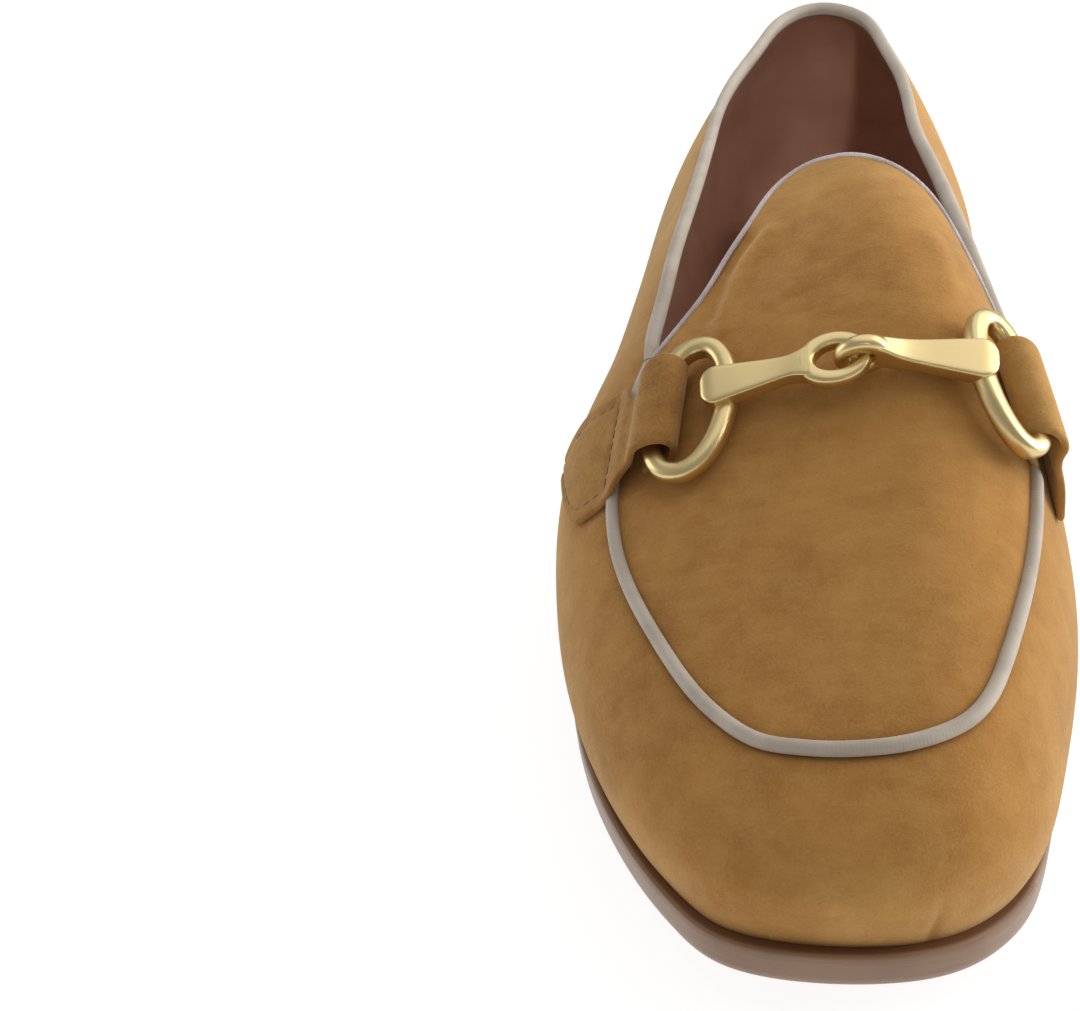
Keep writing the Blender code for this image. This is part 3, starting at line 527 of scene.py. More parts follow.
# %% [markdown]
# ## Finishes as expressions
# A finish is a tree of nodes, but sums are easier to read as sums.  This small class
# wraps one socket and turns Python's operators into Math nodes; its method `node`
# makes any other node, with the settings first and then the sockets.

# %% The socket class
MIX_FACTOR, MIX_FIRST, MIX_SECOND, MIX_RESULT = 0, 6, 7, 2
ATTRIBUTE_VALUE = 2


class Socket:
    """An output of a node tree with arithmetic."""

    def __init__(self, tree, link):
        self.tree = tree
        self.link = link

    def node(self, kind, settings, inputs, output=0):
        """Any node: its type, its settings, and values or links for its sockets."""
        made = self.tree.nodes.new(kind)
        for name, value in settings.items():
            setattr(made, name, value)
        for name, value in inputs.items():
            if isinstance(value, Socket):
                self.tree.links.new(value.link, made.inputs[name])
            else:
                made.inputs[name].default_value = value
        return Socket(self.tree, made.outputs[output])

    def maths(self, operation, *others):
        """A Math node with this value first."""
        return self.node("ShaderNodeMath", {"operation": operation}, dict(enumerate((self, *others))))

    def __add__(self, other):
        return self.maths("ADD", other)

    def __sub__(self, other):
        return self.maths("SUBTRACT", other)

    def __rsub__(self, other):
        return self * -1.0 + other

    def __mul__(self, other):
        return self.maths("MULTIPLY", other)

    __radd__ = __add__
    __rmul__ = __mul__

    def between(self, low, high):
        """Nought below low, one above high and a smooth step between."""
        limits = {"Value": self, "From Min": low, "From Max": high}
        return self.node("ShaderNodeMapRange", {"interpolation_type": "SMOOTHSTEP"}, limits)

    def mix(self, first, second):
        """The first colour where this value is nought, the second where it is one."""
        ends = {MIX_FACTOR: self, MIX_FIRST: first, MIX_SECOND: second}
        return self.node("ShaderNodeMix", {"data_type": "RGBA"}, ends, MIX_RESULT)

    def noise(self, scale, detail=2.0, roughness=0.5):
        """Noise on these coordinates."""
        values = {"Vector": self, "Scale": scale, "Detail": detail, "Roughness": roughness}
        return self.node("ShaderNodeTexNoise", {}, values)

    def stretched(self, scale, turn=(0.0, 0.0, 0.0)):
        """These coordinates scaled along each axis after a turn."""
        values = {"Vector": self, "Scale": scale, "Rotation": turn}
        return self.node("ShaderNodeMapping", {"vector_type": "POINT"}, values)

    def part(self, axis):
        """One coordinate of a vector."""
        return self.node("ShaderNodeSeparateXYZ", {}, {"Vector": self}, axis)

    def bump(self, strength, distance):
        """Normal tilted by this height."""
        values = {"Height": self, "Strength": strength, "Distance": distance}
        return self.node("ShaderNodeBump", {}, values)


def new_finish(name):
    """A material with its shader, its Object coordinates and its chart."""
    finish = bpy.data.materials.new(name)
    finish.use_nodes = True
    tree = finish.node_tree
    coordinates = tree.nodes.new("ShaderNodeTexCoord")
    place = Socket(tree, coordinates.outputs["Object"])
    chart = Socket(tree, coordinates.outputs["UV"])
    return finish, tree.nodes["Principled BSDF"], place, chart


def dress(finish, shader, **inputs):
    """Values and links of the shader's own sockets; underscores stand for spaces."""
    for name, value in inputs.items():
        socket = shader.inputs[name.replace("_", " ")]
        if isinstance(value, Socket):
            finish.node_tree.links.new(value.link, socket)
        else:
            socket.default_value = value
    return finish


print("methods of a socket:", [name for name in vars(Socket) if not name.startswith("_")])

# %% [markdown]
# ## Suede
# Suede is leather with its flesh side out: short fibres that lie this way and that, so
# the colour drifts in soft clouds and brushed streaks, and the edges of the form look
# lighter.  The clouds and streaks are noise at several sizes, the fibre is a fine bump,
# and the shader's sheen gives the pale edges.

# %% Suede finish
SUEDE_DARK = (0.300, 0.130, 0.031, 1.0)
SUEDE_MIDDLE = (0.425, 0.198, 0.050, 1.0)
SUEDE_LIGHT = (0.560, 0.310, 0.100, 1.0)
TAB_DARK = (0.215, 0.090, 0.020, 1.0)
TAB_MIDDLE = (0.320, 0.142, 0.035, 1.0)


def suede_finish(name, dark, middle):
    """Nap from dark to middle by wide drifts, then towards light by raised fibre and by painted light and
    wear, less where shade is painted.
    """
    finish, shader, place, _ = new_finish(name)
    drift = place.noise(17.0, 2.0, 0.5)
    clouds = place.noise(75.0, 4.0, 0.6)
    streaks = place.stretched((0.30, 1.0, 0.9), (0.0, 0.0, 0.15)).noise(420.0, 4.0, 0.6)
    fibre = place.noise(2400.0, 3.0, 0.7)
    # painted highlights and painted shade from each piece's marks, with some wear on the toe
    painted_light_and_wear_marks = place.node("ShaderNodeAttribute", {"attribute_name": "nap"}, {}, ATTRIBUTE_VALUE)
    mottles = place.noise(170.0, 3.0, 0.65)
    base = (drift * 0.8 + clouds * 0.6).between(0.42, 0.98).mix(dark, middle)
    raised = (streaks * 0.25 + mottles * 0.5 + fibre * 0.45).between(0.38, 0.82)
    colour = (raised * 0.55 + painted_light_and_wear_marks).mix(base, SUEDE_LIGHT)
    relief = fibre * 0.7 + place.noise(900.0, 3.0, 0.6) * 0.5 + streaks * 0.3
    return dress(
        finish,
        shader,
        Base_Color=colour,
        Roughness=0.96,
        Specular_IOR_Level=0.12,
        Sheen_Weight=0.45,
        Sheen_Roughness=0.42,
        Sheen_Tint=(1.0, 0.80, 0.48, 1.0),
        Normal=relief.bump(0.35, 0.0004),
    )


suede = suede_finish("mustard_suede", SUEDE_DARK, SUEDE_MIDDLE)
tab_suede = suede_finish("tab_suede", TAB_DARK, TAB_MIDDLE)
print("suede nodes:", len(suede.node_tree.nodes))

# %% [markdown]
# ## Vamp and quarters
# The vamp wraps the toe and runs back into the quarters round the heel.  One grid holds
# it all: columns follow the outline, rows climb from the sole to the apron seam in
# front and to the top line behind.  Beside the seam the suede turns in, and on the
# toe a short crease is pressed in as a soft trough.

# %% Vamp and quarters in suede
FRONT_COLUMNS = 320
REAR_COLUMNS = 240
SKIRT_ROWS = 12
CLIMB_ROWS = 40
ROW_CROWDING = 1.6
SUEDE_WALL = 0.95
SEAM_DIP = 0.75
SEAM_WIDTH = 1.4
SEAM_FADE = 8.0
SOLE_TUCK = 0.2
TOE_FOLDS = (
    (((18.6, 257.6, 8.0), (19.0, 257.0, 13.5), (19.5, 256.2, 20.5)), 0.35, 0.9),
    (((8.0, 259.3, 20.6), (14.5, 258.2, 19.5)), -0.8, 6.0),
)
# Lighter and darker marks on the suede: a lighter worn patch on the toe, painted shade along the toe
# crease, and painted light along the tongue's top with a painted highlight on its fold ridge.
WEAR_AND_PAINTED_LIGHT_MARKS = (
    (((7.0, 259.4, 20.6), (14.5, 258.4, 21.0)), -0.35, 5.5),
    (((18.6, 257.6, 8.0), (19.5, 256.2, 20.0)), 0.6, 0.7),
    (((-3.0, 136.0, 75.5), (8.0, 133.5, 77.0), (18.0, 140.0, 74.5)), -0.16, 9.0),
    (((-9.5, 149.2, 67.8), (-12.0, 153.6, 65.5), (-13.3, 160.0, 62.9)), -0.25, 2.0),
)


def line_distance(points, line):
    """Distance of each point from a line of plan places with heights."""
    ends = np.array(line, dtype=float)
    ends = in_space(ends[:, :2], ends[:, 2])
    start, step = ends[:-1], np.diff(ends, axis=0)
    reach = points[..., None, :] - start
    along = np.clip((reach * step).sum(-1) / (step**2).sum(-1), 0.0, 1.0)
    return np.linalg.norm(reach - along[..., None] * step, axis=-1).min(axis=-1)


def pressed(points, folds):
    """Sum of soft bells: each fold is a line, its depth, negative for a ridge, and its width."""
    return sum(
        -depth * np.exp(-((line_distance(points, line) / width) ** 2)) for line, depth, width in folds
    )


def brushed_nap(points):
    """How much lighter or darker the suede is painted, by marks given in the same way as folds: wear on
    the toe, painted shade in the crease and painted highlights on the tongue.
    """
    return pressed(points, WEAR_AND_PAINTED_LIGHT_MARKS)


front_turns = np.linspace(FRONT_TURNS[0], FRONT_TURNS[-1], FRONT_COLUMNS + 1)
rear_turns = np.linspace(FRONT_TURNS[-1], FRONT_TURNS[0] + TURN_END, REAR_COLUMNS + 1)
round_turns = np.concatenate((front_turns, rear_turns[1:]))
top_climbs = np.concatenate((seam_climb(front_turns), topline_climb(rear_turns[1:])))
levels = np.linspace(0.0, 1.0, SKIRT_ROWS + 1)[:-1, None]
low_rows = skirt(round_turns[None], levels)
low_rows[..., 2] -= SOLE_TUCK * (1.0 - levels)
crowded = 1.0 - (1.0 - np.linspace(0.0, 1.0, CLIMB_ROWS + 1)[:, None]) ** ROW_CROWDING
band = np.concatenate((low_rows, dome(round_turns[None], crowded * top_climbs)))
band[:, -1] = band[:, 0]
band_normal = grid_normal(band, around=True)
below_top = run(band[::-1], 0)[::-1]
column = np.arange(len(round_turns))
on_front = np.clip(np.minimum(column, FRONT_COLUMNS - column) / SEAM_FADE, 0.0, 1.0)
relief = -SEAM_DIP * np.exp(-((below_top / SEAM_WIDTH) ** 2)) * on_front
relief = relief + pressed(band, TOE_FOLDS)
band_skin = band + band_normal * relief[..., None]
vamp_wall = ring_sheet(band_skin, band_skin - band_normal * SUEDE_WALL)
make_piece("vamp_and_quarters", [vamp_wall], suede, "upper", nap=brushed_nap)

# %% [markdown]
# ## The apron and its tongue
# The apron is the panel over the instep; behind the throat it runs out into a rounded
# tongue.  Its grid is blended from the seam to the tongue's free edge and laid on the
# vamp.  The formula has faint corners where one rule hands over to the next, so the
# grid is relaxed before the folds of the worn suede are pressed in.

# %% Apron and tongue in suede
APRON_ROWS = 124
APRON_CROWDING = 0.085
RELAX_ROUNDS = 30
TONGUE_RIDGE = ((-6.4, 146.3, 70.0), (-9.5, 149.2, 67.8), (-12.0, 153.6, 65.5))
TONGUE_RIDGE += ((-13.3, 160.0, 62.9), (-14.0, 166.5, 60.2))
TONGUE_TROUGH = ((-11.0, 145.0, 68.1), (-13.6, 149.7, 65.8), (-15.0, 155.2, 63.7), (-16.6, 161.2, 61.2))
MEDIAL_RIDGE = ((22.4, 155.5, 71.2), (23.2, 160.5, 69.2), (24.3, 164.9, 66.9))
TONGUE_FOLDS = ((TONGUE_RIDGE, -1.0, 2.3), (TONGUE_TROUGH, 1.0, 2.3), (MEDIAL_RIDGE, -0.5, 2.4))


def relax(points, rounds):
    """Each inner point goes half way to the mean of its four neighbours; the rim stays."""
    for _ in range(rounds):
        inner = points[1:-1, 1:-1]
        mean = (points[:-2, 1:-1] + points[2:, 1:-1] + points[1:-1, :-2] + points[1:-1, 2:]) / 4.0
        points = points.copy()
        points[1:-1, 1:-1] = (inner + mean) / 2.0
    return points


def poled(grid):
    """Grid with its first and its last column each drawn together to one point."""
    ends = grid.copy()
    ends[:, [0, -1]] = grid[:, [0, -1]].mean(axis=0)
    return ends


seam_line = band[-1, : FRONT_COLUMNS + 1]
seam_plan = in_plan(seam_line)
free_plan = tongue_edge(FRONT_COLUMNS)
even = np.linspace(0.0, 1.0, APRON_ROWS + 1)
blend = (even - APRON_CROWDING * np.sin(2.0 * np.pi * even))[:, None, None]
apron = vamp(seam_plan * (1.0 - blend) + free_plan * blend)
apron[0] = seam_line
apron = relax(apron, RELAX_ROUNDS)
apron_normal = grid_normal(apron)
apron_normal[:, 0], apron_normal[:, -1] = apron_normal[:, 2], apron_normal[:, -3]
from_seam = run(apron, 0)
relief = -SEAM_DIP * np.exp(-((from_seam / SEAM_WIDTH) ** 2)) * on_front[: FRONT_COLUMNS + 1]
relief = relief + pressed(apron, TONGUE_FOLDS)
apron_skin = apron + apron_normal * relief[..., None]
apron_wall = ring_sheet(poled(apron_skin), poled(apron_skin - apron_normal * SUEDE_WALL))
make_piece("tongued_apron", [apron_wall], suede, "upper", nap=brushed_nap)

# %% [markdown]
# ## Lining leather
# Inside, the shoe is lined with smooth brown leather, seen through the mouth behind the
# tongue.  It follows the suede at a constant depth, so every second row of the same two
# grids is used again, moved inwards.  The leather has fine pores and soft patches.

# %% Lining
LINING_DARK = (0.345, 0.168, 0.104, 1.0)
LINING_LIGHT = (0.440, 0.226, 0.146, 1.0)
LINING_DEPTHS = (1.02, 1.85)


def leather_finish(name, dark, light, roughness, grain):
    """Smooth leather: two tones by soft clouds, and pores from small Voronoi cells."""
    finish, shader, place, _ = new_finish(name)
    clouds = place.noise(70.0, 3.0, 0.5).between(0.3, 0.7)
    values = {"Vector": place, "Scale": grain, "Randomness": 0.9}
    cells = place.node("ShaderNodeTexVoronoi", {"feature": "F1"}, values)
    fine = place.noise(grain * 2.5, 2.0, 0.5)
    return dress(
        finish,
        shader,
        Base_Color=(clouds * 0.8 + fine * 0.2).mix(dark, light),
        Roughness=roughness + fine * 0.12,
        Normal=(cells * 0.7 + fine * 0.3).bump(0.18, 0.0002),
    )


def thinned(grid):
    """Every second row of a grid and its last one, which is enough for the plain lining."""
    return np.concatenate((grid[:-1:2], grid[-1:]))


lining_leather = leather_finish("lining_leather", LINING_DARK, LINING_LIGHT, 0.48, 1300.0)
lining_walls = [
    ring_sheet(*(thinned(band - band_normal * depth) for depth in LINING_DEPTHS)),
    ring_sheet(*(poled(thinned(apron - apron_normal * depth)) for depth in LINING_DEPTHS)),
]
make_piece("upper_lining", lining_walls, lining_leather, "upper")

# %% [markdown]
# ## Piping in the apron seam
# A thin strip of taupe leather is folded round a cord and caught in the seam, so it
# stands up as a smooth bead.  A curve with a bevel would do; a ring of points carried
# along the seam can also flatten where the tabs press on it.

# %% Taupe leather and the piping
TAUPE_DARK = (0.400, 0.338, 0.268, 1.0)
TAUPE_LIGHT = (0.540, 0.470, 0.385, 1.0)
PIPING_RADIUS = 1.12
PIPING_RISE = 0.40
PIPING_SIDES = 20
PIPING_FREE = (187.0, 192.0)
PIPING_PRESSED = 0.42


def ribbed_finish(name, dark, light, pitch, strength):
    """Smooth leather strip with very fine ribs across its length, from its chart in millimetres."""
    finish, shader, place, chart = new_finish(name)
    clouds = place.noise(160.0, 3.0, 0.5).between(0.3, 0.7)
    fine = place.noise(2200.0, 2.0, 0.6)
    ribs = (chart.part(0) * (2.0 * np.pi / pitch)).maths("SINE")
    height = ribs * 0.25 + fine * 0.6
    return dress(
        finish,
        shader,
        Base_Color=(clouds * 0.55 + fine * 0.45).mix(dark, light),
        Roughness=0.55 + fine * 0.15,
        Specular_IOR_Level=0.35,
        Sheen_Weight=0.08,
        Normal=height.bump(strength, 0.00025),
    )


taupe = ribbed_finish("taupe_piping_leather", TAUPE_DARK, TAUPE_LIGHT, 0.55, 0.12)
seam_normal = dome_normal(front_turns, seam_climb(front_turns))
seam_along = unit(np.gradient(seam_line, axis=0))
seam_side = unit(np.cross(seam_normal, seam_along))
free = np.clip((seam_plan[:, 1] - PIPING_FREE[0]) / np.diff(PIPING_FREE), 0.0, 1.0)
stand = PIPING_PRESSED + (1.0 - PIPING_PRESSED) * free * free * (3.0 - 2.0 * free)
angles = np.linspace(0.0, 2.0 * np.pi, PIPING_SIDES, endpoint=False)
side = seam_side[:, None] * (np.cos(angles) * PIPING_RADIUS)[:, None]
height = stand[:, None] * (PIPING_RISE + np.sin(angles) * PIPING_RADIUS)
rings = capped(seam_line[:, None] + side + seam_normal[:, None] * height[..., None])
make_piece("apron_piping_bead", [tube_patch(rings)], taupe, "apron_piping")

# %% [markdown]
# ## Bindings on the free edges
# The top line is bound with the same taupe leather: a strip sewn outside, folded over
# the edge and turned in.  Its section is drawn once, as distances from the edge and
# heights over the suede, and carried round the collar.

# %% Quarter binding
BINDING_FACE = ((1.45, 0.05), (1.40, 0.42), (1.0, 0.76), (0.35, 0.88), (-0.4, 0.66), (-0.85, 0.15))
BINDING_FACE += ((-1.0, -0.5), (-0.85, -1.2), (-0.3, -1.75), (0.6, -2.05), (1.7, -2.2), (2.5, -2.15))
BINDING_BACK = ((2.3, -1.5), (0.0, -1.0), (-0.2, -0.5), (0.0, 0.0), (1.2, 0.0))
BINDING_SAMPLES = 36
BINDING_TAPER = 9.0
BINDING_NARROW = 0.6
HEEL_NARROW = 0.62
HEEL_REACH = 32.0


def section(face, back, samples):
    """Ring of a folded strip: a spline over its seen face and straight lines behind."""
    face = np.array(face)
    knots = chord_knots(face)
    return np.vstack((spline(knots, face, np.linspace(0.0, knots[-1], samples)), back))


binding_ring = section(BINDING_FACE, BINDING_BACK, BINDING_SAMPLES)
rear_top = topline_climb(rear_turns)
rear_edge = dome(rear_turns, rear_top)
speed = np.linalg.norm(rear_edge - dome(rear_turns, rear_top - SMALL), axis=1) / SMALL
from_end = run(rear_edge, 0)
from_end = np.minimum(from_end, from_end[-1] - from_end)
narrow = BINDING_NARROW + (1.0 - BINDING_NARROW) * np.clip(from_end / BINDING_TAPER, 0.0, 1.0)
narrow = narrow - HEEL_NARROW * np.exp(-(((from_end.max() - from_end) / HEEL_REACH) ** 2))
inside = np.where(binding_ring[:, 0] > 0.0, binding_ring[:, 0] * narrow[:, None], binding_ring[:, 0])
climbs = rear_top[:, None] - inside / speed[:, None]
turns = np.broadcast_to(rear_turns[:, None], climbs.shape)
rings = capped(dome(turns, climbs) + dome_normal(turns, climbs) * binding_ring[:, 1:])
make_piece("quarter_binding_strip", [tube_patch(rings)], taupe, "quarter_binding")

# %% [markdown]
# The tongue has a thinner tape in a cooler, lilac grey, held by one row of tiny
# stitches.  Its section is carried along the tongue's edge in the same way, and each
# stitch is a small capsule laid on the tape.

# %% Tongue binding and its stitches
LILAC_DARK = (0.360, 0.300, 0.300, 1.0)
LILAC_LIGHT = (0.660, 0.590, 0.580, 1.0)
THREAD_LILAC = ((0.46, 0.38, 0.38, 1.0), (0.66, 0.58, 0.58, 1.0))
TAPE_FACE = ((0.80, 0.0), (0.75, 0.26), (0.45, 0.42), (0.0, 0.40), (-0.42, 0.12), (-0.55, -0.45))
TAPE_FACE += ((-0.5, -1.2), (0.1, -1.75), (0.8, -1.95), (1.4, -2.0))
TAPE_BACK = ((1.2, -1.4), (0.0, -0.9), (-0.1, -0.5), (0.0, -0.1), (0.8, -0.1))
TAPE_SAMPLES = 28
TAPE_COLUMNS = 300
STITCH_SIDES = 7
STITCH_ROWS = 6
TONGUE_STITCH = (1.3, 0.7, 0.13)
TONGUE_STITCH_PLACE = (0.40, 0.40)


def stitch_patches(path, normals, pitch, length, radius):
    """Capsules along a path: a half-sunk tube with round ends, repeated every pitch."""
    travelled = run(path, 0)
    at = np.arange(pitch, travelled[-1] - pitch / 2.0, pitch)
    centre = along_line(at, travelled, path)
    normal = unit(along_line(at, travelled, normals))
    along = unit(along_line(at + SMALL, travelled, path) - centre)
    across = np.cross(normal, along)
    bend = np.linspace(-np.pi / 2.0, np.pi / 2.0, STITCH_ROWS)
    angle = np.linspace(0.0, 2.0 * np.pi, STITCH_SIDES + 1)
    lengthways = np.sin(bend)[:, None] * length / 2.0
    around = np.cos(bend)[:, None] * radius
    axes = (along, across, normal)
    parts = (lengthways + 0.0 * angle, around * np.cos(angle), around * np.sin(angle))
    offsets = sum(part[..., None] * axis[:, None, None] for part, axis in zip(parts, axes))
    return [(capsule, chart_of(capsule)) for capsule in centre[:, None, None] + offsets]


def thread_finish(name, dark, light):
    """Thread: two tones and a fuzzy bump by one fine noise."""
    finish, shader, place, _ = new_finish(name)
    fine = place.noise(3800.0, 2.0, 0.6)
    return dress(
        finish,
        shader,
        Base_Color=fine.mix(dark, light),
        Roughness=0.7,
        Sheen_Weight=0.2,
        Normal=fine.bump(0.3, 0.0001),
    )


tape = ribbed_finish("lilac_grey_tape", LILAC_DARK, LILAC_LIGHT, 0.55, 0.35)
tape_plan = tongue_edge(TAPE_COLUMNS)
tape_line = vamp(tape_plan)
tape_normal = vamp_normal(tape_plan)
tape_inward = unit(np.cross(np.gradient(tape_line, axis=0), tape_normal))
tape_ring = section(TAPE_FACE, TAPE_BACK, TAPE_SAMPLES)
rings = tape_line[:, None] + tape_inward[:, None] * tape_ring[:, :1]
rings = capped(rings + tape_normal[:, None] * tape_ring[:, 1:])
make_piece("tongue_binding_tape", [tube_patch(rings)], tape, "tongue_binding")
stitch_line = tape_line + tape_inward * TONGUE_STITCH_PLACE[0] + tape_normal * TONGUE_STITCH_PLACE[1]
stitches = stitch_patches(stitch_line, tape_normal, *TONGUE_STITCH)
lilac_thread = thread_finish("lilac_thread", *THREAD_LILAC)
make_piece("tongue_stitches", stitches, lilac_thread, "tongue_binding", covers=False)

# %% [markdown]
# ## Tabs that hold the bit
# On each side a suede strap is sewn to the vamp and folded into a loop, and the ring of
# the bit lies in that loop.  The strap's middle line is drawn as seen along the shoe:
# how far out over the skin and how high above it.  To lay it on the side of the shoe a
# chart of the skin is made first, with lengths measured over the skin.

# %% The side of the shoe as a chart
RING_STATION = by_side(183.2, 182.6)
RING_ACROSS = by_side(-17.1, 29.8)
TAB_SLANT = by_side(-0.06, 0.30)
SIDE = by_side(-1.0, 1.0)
CHART_STATIONS = np.arange(160.0, 200.0, 0.5)
CHART_OUT = np.arange(-8.0, 48.0, 0.5)
CHART_CLIMBS = np.linspace(0.0, 1.52, 400)


def flank(station, climb, side):
    """Point of a section across the middle of the shoe."""
    ridge = rise("ridge", station)
    share = np.cos(climb)
    across = ridge + (side_across(station, side) - ridge) * share
    plan = np.stack(np.broadcast_arrays(across, station), axis=-1)
    return in_space(plan, dome_height(plan, share, side * share, plan[..., 1]))


def skin_chart(name):
    """Grid of skin points by station and by the length run outwards from a line along the ring."""
    side = SIDE[name]
    line = RING_ACROSS[name] + TAB_SLANT[name] * (CHART_STATIONS - RING_STATION[name])
    sections = flank(CHART_STATIONS[:, None], CHART_CLIMBS[None], side)
    lengths = run(sections, 1)
    rows = []
    for points, length, place in zip(sections, lengths, line):
        start = np.interp(-side * place, -side * points[:, 0], length)
        rows.append(along_line(start - CHART_OUT, length, points))
    skin = np.array(rows)
    return skin, grid_normal(skin) * -side


def on_chart(grid, station, out):
    """Chart value between its grid lines, weighted by the four nearest points."""
    row = (station - CHART_STATIONS[0]) / (CHART_STATIONS[1] - CHART_STATIONS[0])
    column = (out - CHART_OUT[0]) / (CHART_OUT[1] - CHART_OUT[0])
    i = np.clip(row.astype(int), 0, len(CHART_STATIONS) - 2)
    j = np.clip(column.astype(int), 0, len(CHART_OUT) - 2)
    a, b = (row - i)[..., None], (column - j)[..., None]
    near = grid[i, j] * (1.0 - b) + grid[i, j + 1] * b
    far = grid[i + 1, j] * (1.0 - b) + grid[i + 1, j + 1] * b
    return near * (1.0 - a) + far * a


CHARTS = {name: skin_chart(name) for name in SIDE}
print("points of each chart:", {name: skin.shape[:2] for name, (skin, _) in CHARTS.items()})

# %% [markdown]
# The strap is a closed tube with a flat, round-edged section.  It is carried along the
# middle line, and its two edges follow a plan of their own, wider on the vamp than in
# the loop.  Stitch lines are pressed into the outer face before the thread is laid in.

# %% The tabs
STRAP = 1.2
TAB_REACH = by_side(35.3, 27.0)
LOOP_RADIUS = by_side(3.0, 2.75)
LOOP_WIDE = by_side(1.2, 1.05)
LOOP_OUT = by_side(5.6, 4.4)
LOOP_HEIGHT = by_side(3.75, 4.1)
LOOP_TURN = np.radians(np.arange(20.0, 261.0, 30.0))
TAB_FLAT = {
    "lateral": ((18.0, 0.90), (15.2, 1.55), (12.8, 2.60), (10.7, 3.20)),
    "medial": ((16.0, 0.60), (13.2, 1.40), (11.0, 2.70), (9.0, 3.50)),
}
TAB_UNDER = by_side(((7.4, 0.62), (9.2, 0.62)), ((5.8, 0.75), (7.6, 0.62)))
TAB_EDGES = {
    "lateral": columns(
        "out rear front",
        (0.0, 175.5, 189.4),
        (8.6, 175.5, 189.4),
        (11.0, 177.2, 189.4),
        (13.0, 175.0, 190.4),
        (15.0, 171.8, 191.3),
        (18.0, 170.5, 191.4),
        (22.0, 169.4, 190.8),
        (25.0, 168.6, 189.5),
        (28.0, 168.3, 186.2),
        (31.0, 168.3, 181.4),
        (33.5, 168.6, 176.8),
        (35.3, 169.4, 173.4),
    ),
    "medial": columns(
        "out rear front",
        (0.0, 176.6, 188.6),
        (7.6, 176.6, 188.6),
        (10.0, 177.0, 188.8),
        (12.0, 174.6, 190.0),
        (14.0, 170.8, 190.9),
        (16.0, 169.6, 189.8),
        (18.0, 169.0, 186.8),
        (20.5, 168.4, 182.4),
        (23.0, 168.2, 178.0),
        (25.5, 168.4, 174.0),
        (27.0, 169.0, 172.4),
    ),
}
TAB_STEPS = 110
TAB_ACROSS = 26
EDGE_TURNS = 7
STITCH_ROW_OUT = by_side(16.4, 14.6)
STITCH_END = 3.5
STITCH_POINTS = 60
STITCH_ROW_SHARES = (0.09, 0.91)
STITCH_ROW_MARGIN = 1.0
STITCH_INSET = 2.0
STITCH_PRESS = 0.28
STITCH_PRESS_WIDTH = 0.55
TAB_STITCH = (2.5, 1.9, 0.22)
# painted light: the medial strap's suede is lightened as if lit from the right; the lateral one is not
TAB_PAINTED_LIGHT = by_side(0.0, 0.52)
THREAD_BROWN = ((0.190, 0.084, 0.022, 1.0), (0.300, 0.138, 0.038, 1.0))


def tab_path(name):
    """Middle line of the strap: flat end, rise, loop round the ring and tail, as a spline."""
    rise_out, rise_up = TAB_FLAT[name][0]
    ends = np.linspace(TAB_REACH[name], rise_out, 4)[:-1]
    flat = np.column_stack((ends, np.full(3, rise_up)))
    loop = np.column_stack((np.cos(LOOP_TURN) * LOOP_WIDE[name], np.sin(LOOP_TURN))) * LOOP_RADIUS[name]
    loop = loop + (LOOP_OUT[name], LOOP_HEIGHT[name])
    path = np.vstack((flat, TAB_FLAT[name], loop, TAB_UNDER[name]))
    knots = chord_knots(path)
    return spline(knots, path, np.linspace(0.0, knots[-1], TAB_STEPS + 1))


def tab_edges(name, out):
    """Stations of the strap's rear and front edge: a spline from the loop to the rounded end."""
    table = TAB_EDGES[name]
    out = np.clip(out, table["out"][0], table["out"][-1])
    return spline(table["out"], table["rear"], out), spline(table["out"], table["front"], out)


def strap_section():
    """Ring of a flat strap: share across and share of the thickness, with half-round edges."""
    flat = np.linspace(0.0, 1.0, TAB_ACROSS)
    bend = np.linspace(np.pi / 2.0, -np.pi / 2.0, EDGE_TURNS + 2)[1:-1]
    top = np.column_stack((flat, np.ones(TAB_ACROSS), np.zeros(TAB_ACROSS)))
    front = np.column_stack((np.ones(EDGE_TURNS), np.sin(bend), np.cos(bend)))
    low = np.column_stack((flat[::-1], -np.ones(TAB_ACROSS), np.zeros(TAB_ACROSS)))
    rear = np.column_stack((np.zeros(EDGE_TURNS), -np.sin(bend), -np.cos(bend)))
    return np.vstack((top, front, low, rear))


def tab_point(name, share, out, up):
    """Point of the strap at a share of its width, so far out over the skin and so high above it."""
    rear, front = tab_edges(name, out)
    station = rear + (front - rear) * share
    skin, normal = CHARTS[name]
    return on_chart(skin, station, out) + unit(on_chart(normal, station, out)) * up[..., None]


